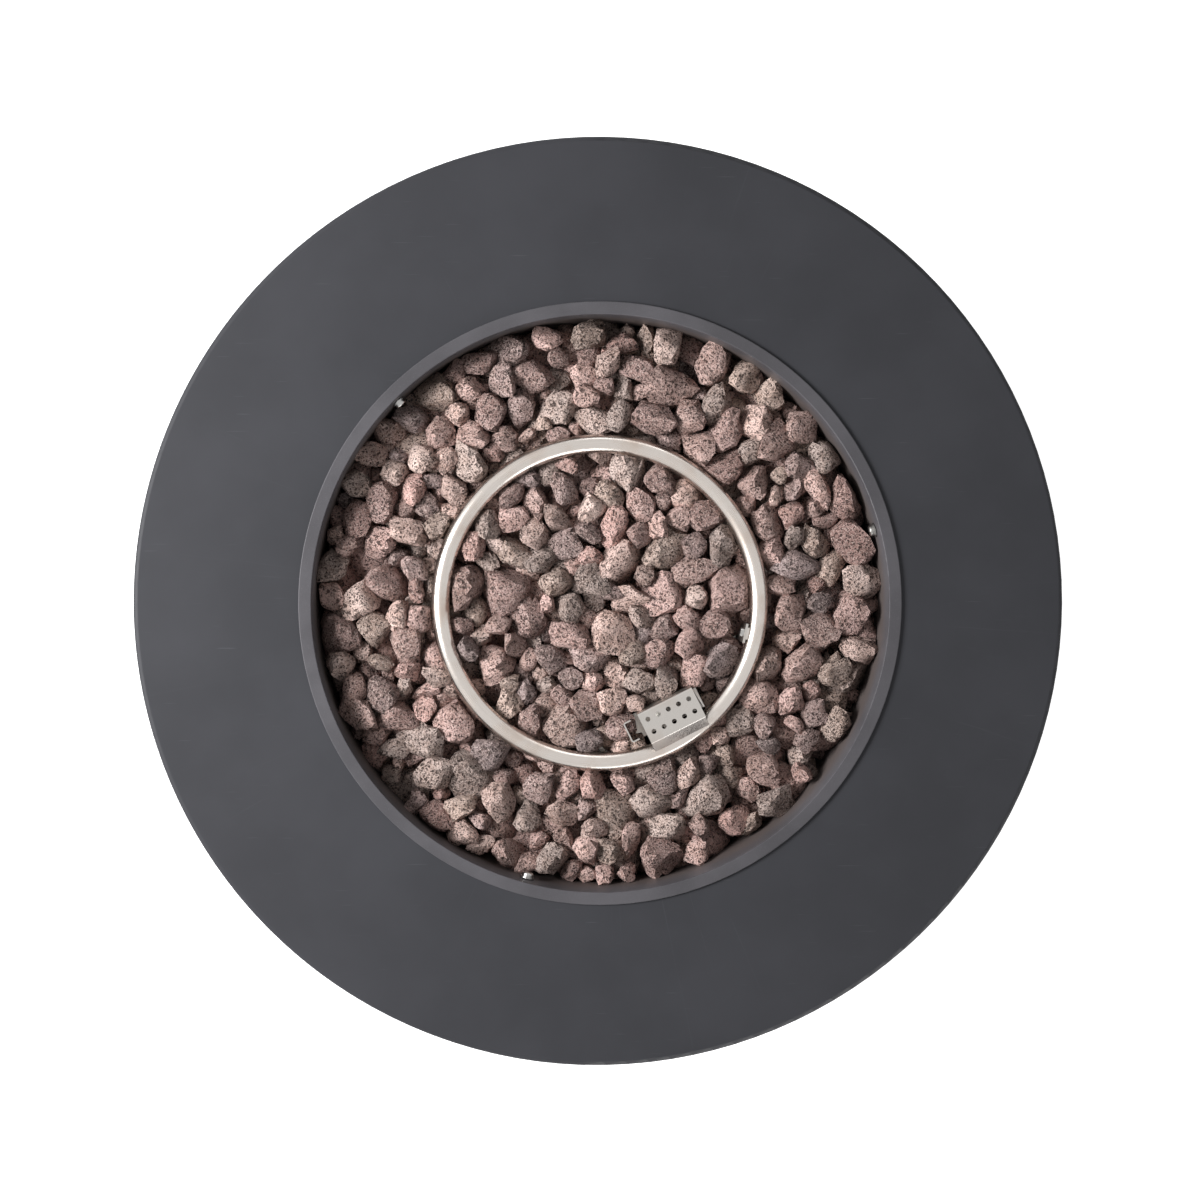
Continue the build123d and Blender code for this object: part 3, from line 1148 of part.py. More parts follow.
# Mixer tube: a neck on the feed, air holes, a cap below and a rim that carries the shutter
with BuildPart() as mixer_tube:
    with BuildSketch(Plane.XY.offset(mixer_base)):
        with Locations((feed_x, feed_y)):
            Circle(mixer_radius)
    extrude(amount=MIXER_LENGTH - MIXER_NECK_LENGTH)
    with BuildSketch(Plane.XY.offset(feed_end)):
        with Locations((feed_x, feed_y)):
            Circle(MIXER_NECK_DIAMETER / 2)
    extrude(amount=MIXER_NECK_LENGTH)
    with BuildSketch(Plane.XY.offset(mixer_base)):
        with Locations((feed_x, feed_y)):
            Circle(MIXER_RIM_DIAMETER / 2)
    extrude(amount=MIXER_CAP)
    with BuildSketch(Plane.XY.offset(mixer_base + MIXER_CAP)):
        with Locations((feed_x, feed_y)):
            Circle(mixer_radius - MIXER_WALL)
    extrude(amount=feed_end - MIXER_CAP - mixer_base - MIXER_CAP, mode=Mode.SUBTRACT)
    with BuildSketch(Plane.XY.offset(feed_end - MIXER_CAP)):
        with Locations((feed_x, feed_y)):
            Circle(FEED_DIAMETER / 2 - FEED_WALL)
    extrude(amount=MIXER_CAP, mode=Mode.SUBTRACT)
    with BuildSketch(Plane.XY.offset(feed_end)):
        with Locations((feed_x, feed_y)):
            Circle(FEED_DIAMETER / 2 + SLIDE_FIT)
    extrude(amount=MIXER_NECK_LENGTH, mode=Mode.SUBTRACT)
    with BuildSketch(Plane.XY.offset(mixer_base)):
        with Locations((feed_x, feed_y)):
            Circle(NOZZLE_DIAMETER / 2 + SLIDE_FIT)
    extrude(amount=MIXER_CAP, mode=Mode.SUBTRACT)
    with BuildSketch(Plane.XY.offset(mixer_base + AIR_HOLE_LIFT)):
        with Locations((feed_x, feed_y)):
            Rectangle(MIXER_DIAMETER, AIR_HOLE_WIDTH)
            Rectangle(AIR_HOLE_WIDTH, MIXER_DIAMETER)
    extrude(amount=AIR_HOLE_HEIGHT, mode=Mode.SUBTRACT)
write(mixer_tube.part, "mixer_tube")

shutter_low = mixer_base + MIXER_CAP + SEAT_GAP
shutter_inner = mixer_radius + SLIDE_FIT
with BuildPart() as air_shutter:
    with BuildSketch(Plane.XY.offset(shutter_low)):
        with Locations((feed_x, feed_y)):
            Circle(shutter_inner + SHUTTER_WALL)
            with Locations(Location((0, 0, 0), (0, 0, SHUTTER_TAB_ANGLE))):
                with Locations((shutter_inner + SHUTTER_TAB / 2, 0)):
                    Rectangle(SHUTTER_TAB, SHUTTER_WALL)
            Circle(shutter_inner, mode=Mode.SUBTRACT)
    extrude(amount=SHUTTER_HEIGHT)
    with BuildSketch(Plane.XY.offset(mixer_base + AIR_HOLE_LIFT)):
        with Locations((feed_x, feed_y)):
            Rectangle(2 * (shutter_inner + SHUTTER_WALL), AIR_HOLE_WIDTH)
            Rectangle(AIR_HOLE_WIDTH, 2 * (shutter_inner + SHUTTER_WALL))
    extrude(amount=AIR_HOLE_HEIGHT, mode=Mode.SUBTRACT)
write(air_shutter.part, "air_shutter")

# Orifice elbow and the gas pipe from the valve
elbow_height = mixer_base - ELBOW_HEIGHT / 2
with BuildPart() as orifice_elbow:
    with BuildSketch(Plane.XY.offset(mixer_base)):
        with Locations((feed_x, feed_y)):
            RegularPolygon(ELBOW_DIAMETER / 2, 6)
    extrude(amount=-ELBOW_HEIGHT)
    with BuildSketch(Plane.XY.offset(mixer_base)):
        with Locations((feed_x, feed_y)):
            Circle(NOZZLE_DIAMETER / 2)
    extrude(amount=NOZZLE_LENGTH)
    with BuildSketch(Plane(origin=(feed_x, feed_y, elbow_height), x_dir=(1, 0, 0), z_dir=(0, -1, 0))):
        Circle(ELBOW_ARM_DIAMETER / 2)
    extrude(amount=ELBOW_ARM_LENGTH)
write(orifice_elbow.part, "orifice_elbow")

with BuildPart() as gas_pipe:
    with BuildLine() as pipe_path:
        FilletPolyline(
            (feed_x, feed_y - ELBOW_ARM_LENGTH, elbow_height),
            (feed_x, feed_y - ELBOW_ARM_LENGTH - PIPE_RUN, elbow_height),
            (KNOB_SHIFT, PIPE_RUN - valve_back, control_height),
            (KNOB_SHIFT, -valve_back, control_height),
            radius=PIPE_BEND,
        )
    with BuildSketch(Plane(origin=pipe_path.line @ 0, z_dir=pipe_path.line % 0)):
        Circle(PIPE_DIAMETER / 2)
        Circle(PIPE_DIAMETER / 2 - PIPE_WALL, mode=Mode.SUBTRACT)
    sweep(path=pipe_path.line)
write(gas_pipe.part, "gas_pipe")

# Control panel and its screws
screw_grid = (PANEL_WIDTH - 2 * PANEL_SCREW_MARGIN, PANEL_HEIGHT - 2 * PANEL_SCREW_MARGIN)
with BuildPart() as control_panel:
    with BuildSketch(front_plane(panel_seat)):
        RectangleRounded(PANEL_WIDTH, PANEL_HEIGHT, PANEL_CORNER)
        with Locations((KNOB_SHIFT, 0)):
            Circle(SPINDLE_COLLAR_DIAMETER / 2 + SCREW_FIT, mode=Mode.SUBTRACT)
        with Locations((IGNITER_SHIFT, 0)):
            Circle(IGNITER_DIAMETER / 2 + SCREW_FIT, mode=Mode.SUBTRACT)
        with GridLocations(*screw_grid, 2, 2):
            Circle(PANEL_SCREW_DIAMETER / 2 + SCREW_FIT, mode=Mode.SUBTRACT)
    extrude(amount=PANEL_SHEET)
write(control_panel.part, "control_panel")

with BuildPart() as panel_screws:
    with BuildSketch(front_plane(PAD_REACH)):
        with GridLocations(*screw_grid, 2, 2):
            Circle(PANEL_SCREW_HEAD_DIAMETER / 2)
    extrude(amount=PANEL_SCREW_HEAD_HEIGHT)
    with BuildSketch(front_plane(PAD_REACH)):
        with GridLocations(*screw_grid, 2, 2):
            Circle(PANEL_SCREW_DIAMETER / 2)
    extrude(amount=-PANEL_SCREW_LENGTH)
write(panel_screws.part, "panel_screws")

# Gas valve: neck behind the panel, body with a blind bore, and the flare inlet under it
with BuildPart() as gas_valve:
    with BuildSketch(front_plane(panel_seat)):
        with Locations((KNOB_SHIFT, 0)):
            Circle(VALVE_NECK_DIAMETER / 2)
    extrude(amount=valve_front - panel_seat)
    with BuildSketch(front_plane(valve_front)):
        with Locations((KNOB_SHIFT, 0)):
            RectangleRounded(VALVE_WIDTH, VALVE_HEIGHT, VALVE_EDGE_RADIUS)
    extrude(amount=-VALVE_DEPTH)
    with BuildSketch(front_plane(panel_seat)):
        with Locations((KNOB_SHIFT, 0)):
            Circle(VALVE_BORE_DIAMETER / 2)
    extrude(amount=-VALVE_BORE_DEPTH, mode=Mode.SUBTRACT)
write(gas_valve.part, "gas_valve")

inlet_spot = (KNOB_SHIFT, -valve_back - VALVE_DEPTH / 2)
inlet_top = control_height - VALVE_HEIGHT / 2
with BuildPart() as gas_inlet:
    with BuildSketch(Plane.XY.offset(inlet_top)):
        with Locations(inlet_spot):
            RegularPolygon(INLET_HEX_WIDTH / 2, 6, major_radius=False)
    extrude(amount=-INLET_HEX_HEIGHT)
    with BuildSketch(Plane.XY.offset(inlet_top - INLET_HEX_HEIGHT)):
        with Locations(inlet_spot):
            Circle(INLET_DIAMETER / 2)
    extrude(amount=-INLET_LENGTH)
    with BuildSketch(Plane.XY.offset(inlet_top)):
        with Locations(inlet_spot):
            Circle(INLET_BORE_DIAMETER / 2)
    extrude(amount=-INLET_HEX_HEIGHT - INLET_LENGTH, mode=Mode.SUBTRACT)
write(gas_inlet.part, "gas_inlet")

# Valve plunger, spindle and knob
plunger_front = panel_seat - PLUNGER_FRONT
with BuildPart() as valve_plunger:
    with BuildSketch(front_plane(plunger_front)):
        with Locations((KNOB_SHIFT, 0)):
            Circle(VALVE_BORE_DIAMETER / 2 - SLIDE_FIT)
            Circle(SPINDLE_DIAMETER / 2 + SLIDE_FIT, mode=Mode.SUBTRACT)
    extrude(amount=-PLUNGER_LENGTH)
write(valve_plunger.part, "valve_plunger")

spindle_back = plunger_front - PLUNGER_LENGTH - SPINDLE_TAIL
with BuildPart() as valve_spindle:
    with BuildSketch(front_plane(spindle_back)):
        with Locations((KNOB_SHIFT, 0)):
            Circle(SPINDLE_DIAMETER / 2)
    extrude(amount=knob_back + KNOB_BORE_DEPTH - SEAT_GAP - spindle_back)
    with BuildSketch(front_plane(plunger_front + SEAT_GAP)):
        with Locations((KNOB_SHIFT, 0)):
            Circle(SPINDLE_COLLAR_DIAMETER / 2)
    extrude(amount=SPINDLE_COLLAR_LENGTH)
write(valve_spindle.part, "valve_spindle")

with BuildPart() as control_knob:
    with BuildSketch(front_plane(knob_back)):
        with Locations((KNOB_SHIFT, 0)):
            Circle(KNOB_DIAMETER / 2)
    extrude(amount=KNOB_SKIRT_HEIGHT)
    fillet(control_knob.edges().group_by(Axis.Y)[0], radius=KNOB_EDGE_RADIUS)
    with BuildSketch(front_plane(knob_back + KNOB_SKIRT_HEIGHT)):
        with Locations((KNOB_SHIFT, 0)):
            Circle(KNOB_GRIP_DIAMETER / 2)
    extrude(amount=KNOB_GRIP_HEIGHT, taper=KNOB_GRIP_TAPER_ANGLE)
    fillet(control_knob.edges().group_by(Axis.Y)[0], radius=KNOB_EDGE_RADIUS)
    with BuildSketch(front_plane(knob_back + KNOB_SKIRT_HEIGHT)):
        with Locations((KNOB_SHIFT, 0)):
            with PolarLocations(KNOB_GRIP_DIAMETER / 2, KNOB_FLUTE_COUNT):
                Circle(KNOB_FLUTE_DIAMETER / 2)
    extrude(amount=KNOB_GRIP_HEIGHT, mode=Mode.SUBTRACT)
    with BuildSketch(front_plane(knob_back)):
        with Locations((KNOB_SHIFT, 0)):
            Circle(SPINDLE_DIAMETER / 2 + SLIDE_FIT)
    extrude(amount=KNOB_BORE_DEPTH, mode=Mode.SUBTRACT)
write(control_knob.part, "control_knob")

# Igniter: barrel with a front flange, ring nut behind the panel and push button
igniter_face = PAD_REACH + IGNITER_FLANGE_HEIGHT
with BuildPart() as igniter_barrel:
    with BuildSketch(front_plane(igniter_back)):
        with Locations((IGNITER_SHIFT, 0)):
            Circle(IGNITER_DIAMETER / 2)
    extrude(amount=IGNITER_LENGTH)
    with BuildSketch(front_plane(PAD_REACH)):
        with Locations((IGNITER_SHIFT, 0)):
            Circle(IGNITER_FLANGE_DIAMETER / 2)
    extrude(amount=IGNITER_FLANGE_HEIGHT)
    with BuildSketch(front_plane(igniter_face)):
        with Locations((IGNITER_SHIFT, 0)):
            Circle(IGNITER_BORE_DIAMETER / 2)
    extrude(amount=-IGNITER_BORE_DEPTH, mode=Mode.SUBTRACT)
write(igniter_barrel.part, "igniter_barrel")

with BuildPart() as igniter_nut:
    with BuildSketch(front_plane(panel_seat)):
        with Locations((IGNITER_SHIFT, 0)):
            RegularPolygon(IGNITER_NUT_DIAMETER / 2, 6)
            Circle(IGNITER_DIAMETER / 2 + SLIDE_FIT, mode=Mode.SUBTRACT)
    extrude(amount=-IGNITER_NUT_HEIGHT)
write(igniter_nut.part, "igniter_nut")

with BuildPart() as igniter_button:
    with BuildSketch(front_plane(igniter_face + BUTTON_PROUD)):
        with Locations((IGNITER_SHIFT, 0)):
            Circle(IGNITER_BORE_DIAMETER / 2 - SLIDE_FIT)
    extrude(amount=-BUTTON_LENGTH)
    fillet(igniter_button.edges().group_by(Axis.Y)[0], radius=BUTTON_EDGE_RADIUS)
write(igniter_button.part, "igniter_button")

# Leads from the burner to the igniter and to the valve, points chosen by hand
electrode_spot = on_hood(ELECTRODE_REACH, ELECTRODE_SHIFT)
sensor_spot = on_hood(SENSOR_REACH, SENSOR_SHIFT)
lead_routes = {
    "ignition_lead": [
        (electrode_spot.X, electrode_spot.Y, electrode_foot),
        (electrode_spot.X, electrode_spot.Y, 495),
        (IGNITER_SHIFT, -205, control_height),
        (IGNITER_SHIFT, -igniter_back, control_height),
    ],
    "sensor_lead": [
        (sensor_spot.X, sensor_spot.Y, sensor_foot),
        (sensor_spot.X, sensor_spot.Y, 508),
        (-22, -200, control_height),
        (-22, -valve_back, control_height),
    ],
}
for name, route in lead_routes.items():
    with BuildPart() as lead:
        with BuildLine() as lead_path:
            FilletPolyline(*route, radius=LEAD_BEND)
        with BuildSketch(Plane(origin=lead_path.line @ 0, z_dir=lead_path.line % 0)):
            Circle(LEAD_DIAMETER / 2)
        sweep(path=lead_path.line)
    write(lead.part, name)

# Tank door: a curved tray of sheet steel, flush with the drum
with BuildPart() as tank_door:
    with BuildSketch(Plane.XY.offset(door_low)):
        add(ring_sector(drum_radius - DOOR_RETURN, drum_radius, 90 - door_half_angle, 90 + door_half_angle))
    extrude(amount=door_high - door_low)
    with BuildSketch(Plane.XY.offset(door_low + DOOR_SHEET)):
        pocket_half_angle = door_half_angle - math.degrees(DOOR_SHEET / drum_radius)
        add(
            ring_sector(
                drum_radius - DOOR_RETURN - OVERRUN,
                drum_radius - DOOR_SHEET,
                90 - pocket_half_angle,
                90 + pocket_half_angle,
            )
        )
    extrude(amount=door_high - door_low - 2 * DOOR_SHEET, mode=Mode.SUBTRACT)
    with BuildSketch(outward_plane(latch_angle + PULL_ANGLE, drum_inner, (door_low + door_high) / 2)):
        Circle(PULL_STUD_DIAMETER / 2 + SCREW_FIT)
    extrude(amount=DRUM_WALL + OVERRUN, mode=Mode.SUBTRACT)
write(tank_door.part, "tank_door")


def leaf_plates(side, low, high, near):
    """Curved hinge plates on one side of the hinge line, from a near distance to the leaf's width."""
    near_angle = hinge_angle + side * math.degrees(near / drum_radius)
    far_angle = hinge_angle + side * math.degrees(HINGE_LEAF_WIDTH / drum_radius)
    with BuildPart(mode=Mode.PRIVATE) as plate:
        with BuildSketch(Plane.XY.offset(low)):
            add(
                ring_sector(
                    drum_radius,
                    drum_radius + HINGE_SHEET,
                    min(near_angle, far_angle),
                    max(near_angle, far_angle),
                )
            )
        extrude(amount=high - low)
    return plate.part


# Hinge leaves: two knuckles on the drum side, one between them on the door side
hinge_spot = (hinge_radius, 0)
knuckle_sides = {
    "hinge_leaves": (1, [(0, knuckle_length - KNUCKLE_GAP), (2 * knuckle_length + KNUCKLE_GAP, HINGE_LENGTH)]),
    "door_leaves": (-1, [(knuckle_length, 2 * knuckle_length)]),
}
for name, (side, spans) in knuckle_sides.items():
    with BuildPart() as leaves:
        for low in hinge_lows:
            add(leaf_plates(side, low, low + HINGE_LENGTH, KNUCKLE_DIAMETER / 2 + KNUCKLE_GAP))
            for start, end in spans:
                add(leaf_plates(side, low + start, low + end, KNUCKLE_GAP))
                with BuildSketch(turned_plane(hinge_angle, low + start)):
                    with Locations(hinge_spot):
                        Circle(KNUCKLE_DIAMETER / 2)
                extrude(amount=end - start)
            with BuildSketch(turned_plane(hinge_angle, low)):
                with Locations(hinge_spot):
                    Circle(PIN_DIAMETER / 2 + SLIDE_FIT)
            extrude(amount=HINGE_LENGTH, mode=Mode.SUBTRACT)
    write(leaves.part, name)

with BuildPart() as hinge_pins:
    for low in hinge_lows:
        with BuildSketch(turned_plane(hinge_angle, low)):
            with Locations(hinge_spot):
                Circle(PIN_DIAMETER / 2)
        extrude(amount=HINGE_LENGTH)
        with BuildSketch(turned_plane(hinge_angle, low + HINGE_LENGTH)):
            with Locations(hinge_spot):
                Circle(PIN_HEAD_DIAMETER / 2)
        extrude(amount=PIN_HEAD_HEIGHT)
write(hinge_pins.part, "hinge_pins")

# Door pull with its stud and nut
pull_height = (door_low + door_high) / 2
pull_angle = latch_angle + PULL_ANGLE
pull_seat = drum_radius + PULL_SEAT_GAP
with BuildPart() as door_pull:
    with BuildSketch(outward_plane(pull_angle, pull_seat, pull_height)):
        Circle(PULL_NECK_DIAMETER / 2)
    extrude(amount=PULL_NECK_LENGTH)
    with BuildSketch(outward_plane(pull_angle, pull_seat + PULL_NECK_LENGTH, pull_height)):
        Circle(PULL_DIAMETER / 2)
    extrude(amount=PULL_LENGTH - PULL_NECK_LENGTH)
    rim_length = math.pi * (PULL_DIAMETER + PULL_NECK_DIAMETER) / 2
    fillet(door_pull.edges().filter_by(lambda edge: edge.length > rim_length), radius=PULL_EDGE_RADIUS)
    with BuildSketch(outward_plane(pull_angle, pull_seat, pull_height)):
        Circle(PULL_STUD_DIAMETER / 2)
    extrude(amount=-PULL_STUD_LENGTH)
write(door_pull.part, "door_pull")

with BuildPart() as pull_nut:
    nut_seat = drum_radius - DOOR_SHEET - SEAT_GAP
    with BuildSketch(outward_plane(pull_angle, nut_seat, pull_height)):
        RegularPolygon(PULL_NUT_WIDTH / 2, 6, major_radius=False)
        Circle(PULL_STUD_DIAMETER / 2 + SLIDE_FIT, mode=Mode.SUBTRACT)
    extrude(amount=-PULL_NUT_HEIGHT)
write(pull_nut.part, "pull_nut")

# Magnetic catch inside the drum and its strike on the door
catch_height = door_high - CATCH_DROP
with BuildPart() as door_magnet:
    with BuildSketch(turned_plane(latch_angle, catch_height - MAGNET_HEIGHT / 2)):
        with Locations((magnet_face - MAGNET_DEPTH / 2, (MAGNET_LAP - MAGNET_WIDTH) / 2)):
            Rectangle(MAGNET_DEPTH, MAGNET_WIDTH + MAGNET_LAP)
    extrude(amount=MAGNET_HEIGHT)
write(door_magnet.part, "door_magnet")

with BuildPart() as door_strike:
    with BuildSketch(Plane.XY.offset(catch_height - MAGNET_HEIGHT / 2)):
        add(
            ring_sector(
                magnet_face + MAGNET_GAP,
                drum_radius - DOOR_RETURN,
                90 - door_half_angle,
                90 - door_half_angle + math.degrees(MAGNET_LAP / drum_inner),
            )
        )
    extrude(amount=MAGNET_HEIGHT)
write(door_strike.part, "door_strike")
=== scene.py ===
"""Looks of a round gas fire pit table: finishes for its solids and a loose bed of lava stones."""

import json
import logging
import math
from dataclasses import dataclass, field
from enum import Enum

import bpy
import numpy as np
from mathutils import Matrix, Vector


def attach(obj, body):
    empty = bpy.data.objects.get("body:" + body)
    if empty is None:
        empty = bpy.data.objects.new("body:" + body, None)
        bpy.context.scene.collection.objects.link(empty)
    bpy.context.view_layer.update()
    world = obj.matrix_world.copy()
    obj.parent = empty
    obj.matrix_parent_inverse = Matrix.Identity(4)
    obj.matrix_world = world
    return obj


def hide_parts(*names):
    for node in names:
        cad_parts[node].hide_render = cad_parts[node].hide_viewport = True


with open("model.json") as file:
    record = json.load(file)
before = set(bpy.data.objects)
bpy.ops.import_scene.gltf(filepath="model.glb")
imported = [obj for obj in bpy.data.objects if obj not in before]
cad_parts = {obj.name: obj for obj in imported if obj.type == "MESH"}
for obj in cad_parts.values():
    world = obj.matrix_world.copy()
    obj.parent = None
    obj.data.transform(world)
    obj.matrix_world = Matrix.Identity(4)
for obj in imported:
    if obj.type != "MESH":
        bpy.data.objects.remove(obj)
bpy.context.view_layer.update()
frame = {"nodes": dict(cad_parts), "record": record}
log = logging.getLogger("fire_pit")
Colour = tuple[float, float, float]
Place = tuple[float, float, float]
Span = tuple[float, float]
Socket = bpy.types.NodeSocket
PIT = "pit"
TINY = 1e-9
WHITE: Colour = (1.0, 1.0, 1.0)
CLOUD_SPAN: Span = (0.3, 0.7)
SEEN_RAYS = ("Is Camera Ray", "Is Glossy Ray", "Is Transmission Ray")


class Layer(Enum):
    """The two layers of the stone bed, named for the solids that they stand for."""

    UPPER = "lava_rocks_upper"
    LOWER = "lava_rocks_lower"


def tone(colour: Colour, factor: float, lift: float = 0.0) -> Colour:
    """Makes a colour lighter or darker.

    Args:
        colour: The colour.
        factor: What each part is multiplied by.
        lift: What is then added to each part.

    Returns:
        The new colour.
    """
    return tuple(factor * part + lift for part in colour)


def seen_rays(tree: bpy.types.NodeTree) -> Socket:
    """Tells rays that the camera sees, straight or by way of a mirror or glass, from the others.

    Args:
        tree: The node tree that it is for.

    Returns:
        A number: 1 for such rays, 0 for the others.
    """
    rays = tree.nodes.new("ShaderNodeLightPath")
    seen = rays.outputs[SEEN_RAYS[0]]
    for name in SEEN_RAYS[1:]:
        larger = tree.nodes.new("ShaderNodeMath")
        larger.operation = "MAXIMUM"
        tree.links.new(seen, larger.inputs[0])
        tree.links.new(rays.outputs[name], larger.inputs[1])
        seen = larger.outputs[0]
    return seen


class Painter:
    """Builds one node material, with short calls for the nodes that the finishes share."""

    def __init__(self, name: str) -> None:
        """Starts an empty material with a shader and an output.

        Args:
            name: The material's name.
        """
        self.material = bpy.data.materials.new(name)
        self.material.use_nodes = True
        self.tree = self.material.node_tree
        self.tree.nodes.clear()
        output = self.tree.nodes.new("ShaderNodeOutputMaterial")
        self.shader = self.tree.nodes.new("ShaderNodeBsdfPrincipled")
        self.tree.links.new(self.shader.outputs["BSDF"], output.inputs["Surface"])

    def feed(self, socket: Socket, value: Socket | float | Colour) -> None:
        """Links a socket to another, or sets its value.

        Args:
            socket: The input.
            value: An output to link, a number or a colour.
        """
        if isinstance(value, bpy.types.NodeSocket):
            self.tree.links.new(value, socket)
        elif isinstance(value, tuple) and socket.type == "RGBA":
            socket.default_value = (*value, 1.0)
        else:
            socket.default_value = value

    def shade(self, inputs: dict[str, Socket | float | Colour]) -> None:
        """Feeds the shader.

        Args:
            inputs: What goes to each input, by the input's name.
        """
        for name, value in inputs.items():
            self.feed(self.shader.inputs[name], value)

    def coordinates(self) -> Socket:
        """Gives the place on the object in metres."""
        return self.tree.nodes.new("ShaderNodeTexCoord").outputs["Object"]

    def split(self, place: Socket) -> tuple[Socket, ...]:
        """Gives the three parts of coordinates."""
        node = self.tree.nodes.new("ShaderNodeSeparateXYZ")
        self.feed(node.inputs[0], place)
        return tuple(node.outputs)

    def attribute(self, name: str) -> Socket:
        """Gives the colour stored in the piece's attribute of that name."""
        node = self.tree.nodes.new("ShaderNodeAttribute")
        node.attribute_name = name
        return node.outputs["Color"]

    def math(self, operation: str, first: Socket | float, second: Socket | float = 0.0) -> Socket:
        """Does one sum on numbers.

        Args:
            operation: The name of the operation.
            first: The first number.
            second: The second number.

        Returns:
            The result.
        """
        node = self.tree.nodes.new("ShaderNodeMath")
        node.operation = operation
        self.feed(node.inputs[0], first)
        self.feed(node.inputs[1], second)
        return node.outputs[0]

    def noise(
        self, place: Socket, scale: float, detail: float = 4.0, roughness: float = 0.55
    ) -> Socket:
        """Cloudy noise from 0 to 1.

        Args:
            place: The coordinates.
            scale: Clouds per unit.
            detail: Octaves.
            roughness: Weight of each finer octave.

        Returns:
            The noise value.
        """
        node = self.tree.nodes.new("ShaderNodeTexNoise")
        self.feed(node.inputs["Vector"], place)
        node.inputs["Scale"].default_value = scale
        node.inputs["Detail"].default_value = detail
        node.inputs["Roughness"].default_value = roughness
        return node.outputs["Fac"]

    def wobble(self, place: Socket, scale: float, reach: float) -> Socket:
        """Shifts coordinates by noise, so that a regular pattern on them turns uneven.

        Args:
            place: The coordinates.
            scale: Waves per unit.
            reach: The largest shift.

        Returns:
            The shifted coordinates.
        """
        cloud = self.tree.nodes.new("ShaderNodeTexNoise")
        self.feed(cloud.inputs["Vector"], place)
        cloud.inputs["Scale"].default_value = scale
        shift = self.tree.nodes.new("ShaderNodeVectorMath")
        shift.operation = "MULTIPLY_ADD"
        self.feed(shift.inputs[0], cloud.outputs["Color"])
        shift.inputs[1].default_value = (reach, reach, reach)
        self.feed(shift.inputs[2], place)
        return shift.outputs[0]

    def cells(self, place: Socket, scale: float) -> Socket:
        """Distance to the nearest of scattered points, in cell widths.

        Args:
            place: The coordinates.
            scale: Cells per unit.

        Returns:
            The distance.
        """
        node = self.tree.nodes.new("ShaderNodeTexVoronoi")
        self.feed(node.inputs["Vector"], place)
        node.inputs["Scale"].default_value = scale
        return node.outputs["Distance"]

    def band(
        self, value: Socket, low: float, high: float, start: float = 0.0, end: float = 1.0
    ) -> Socket:
        """Maps a value smoothly from one range to another, held at the ends.

        Args:
            value: The value.
            low: The value that gives start.
            high: The value that gives end.
            start: The result at low.
            end: The result at high.

        Returns:
            The mapped value.
        """
        node = self.tree.nodes.new("ShaderNodeMapRange")
        node.interpolation_type = "SMOOTHSTEP"
        self.feed(node.inputs["Value"], value)
        limits = {"From Min": low, "From Max": high, "To Min": start, "To Max": end}
        for name, number in limits.items():
            node.inputs[name].default_value = number
        return node.outputs["Result"]

    def mix(
        self,
        share: Socket | float,
        first: Socket | Colour,
        second: Socket | Colour,
        way: str = "MIX",
    ) -> Socket:
        """Mixes two colours.

        Args:
            share: How much of the second.
            first: The first colour.
            second: The second colour.
            way: The blend mode.

        Returns:
            The mixed colour.
        """
        node = self.tree.nodes.new("ShaderNodeMix")
        node.data_type = "RGBA"
        node.blend_type = way
        self.feed(node.inputs["Factor"], share)
        self.feed(node.inputs["A"], first)
        self.feed(node.inputs["B"], second)
        return node.outputs["Result"]

    def mottle(self, clouds: Socket, colour: Colour, shades: Span) -> Socket:
        """Varies a colour by clouds.

        Args:
            clouds: The noise.
            colour: The colour.
            shades: The factors of its darkest and its lightest shade.

        Returns:
            The mottled colour.
        """
        dark, light = shades
        return self.mix(self.band(clouds, *CLOUD_SPAN), tone(colour, dark), tone(colour, light))

    def vary(self, clouds: Socket, middle: float, spread: Span) -> Socket:
        """Varies a number by clouds.

        Args:
            clouds: The noise.
            middle: The number.
            spread: What is added to it at the least and at the most.

        Returns:
            The varied number.
        """
        below, above = spread
        return self.band(clouds, *CLOUD_SPAN, middle + below, middle + above)

    def mapped(self, scale: Place, turn: float = 0.0, shift: float = 0.0) -> Socket:
        """Coordinates that are scaled, turned about the upright axis and shifted.

        Args:
            scale: Units per metre along each axis.
            turn: The turn in radians.
            shift: The shift along both level axes.

        Returns:
            The new coordinates.
        """
        node = self.tree.nodes.new("ShaderNodeMapping")
        self.feed(node.inputs["Vector"], self.coordinates())
        node.inputs["Location"].default_value = (shift, shift, 0.0)
        node.inputs["Rotation"].default_value = (0.0, 0.0, turn)
        node.inputs["Scale"].default_value = scale
        return node.outputs[0]

    def polar(self, angle_scale: float, radius_scale: float, height_scale: float) -> Socket:
        """Coordinates round the upright axis: angle, distance and height, each times its scale.

        Args:
            angle_scale: Units per radian.
            radius_scale: Units per metre outward.
            height_scale: Units per metre up.

        Returns:
            The scaled coordinates.
        """
        across, along, up = self.split(self.coordinates())
        angle = self.math("ARCTAN2", along, across)
        across_square = self.math("MULTIPLY", across, across)
        along_square = self.math("MULTIPLY", along, along)
        distance = self.math("SQRT", self.math("ADD", across_square, along_square))
        join = self.tree.nodes.new("ShaderNodeCombineXYZ")
        self.feed(join.inputs[0], self.math("MULTIPLY", angle, angle_scale))
        self.feed(join.inputs[1], self.math("MULTIPLY", distance, radius_scale))
        self.feed(join.inputs[2], self.math("MULTIPLY", up, height_scale))
        return join.outputs[0]

    def radius(self) -> Socket:
        """Gives the distance from the upright axis, in metres."""
        return self.split(self.polar(1.0, 1.0, 1.0))[1]

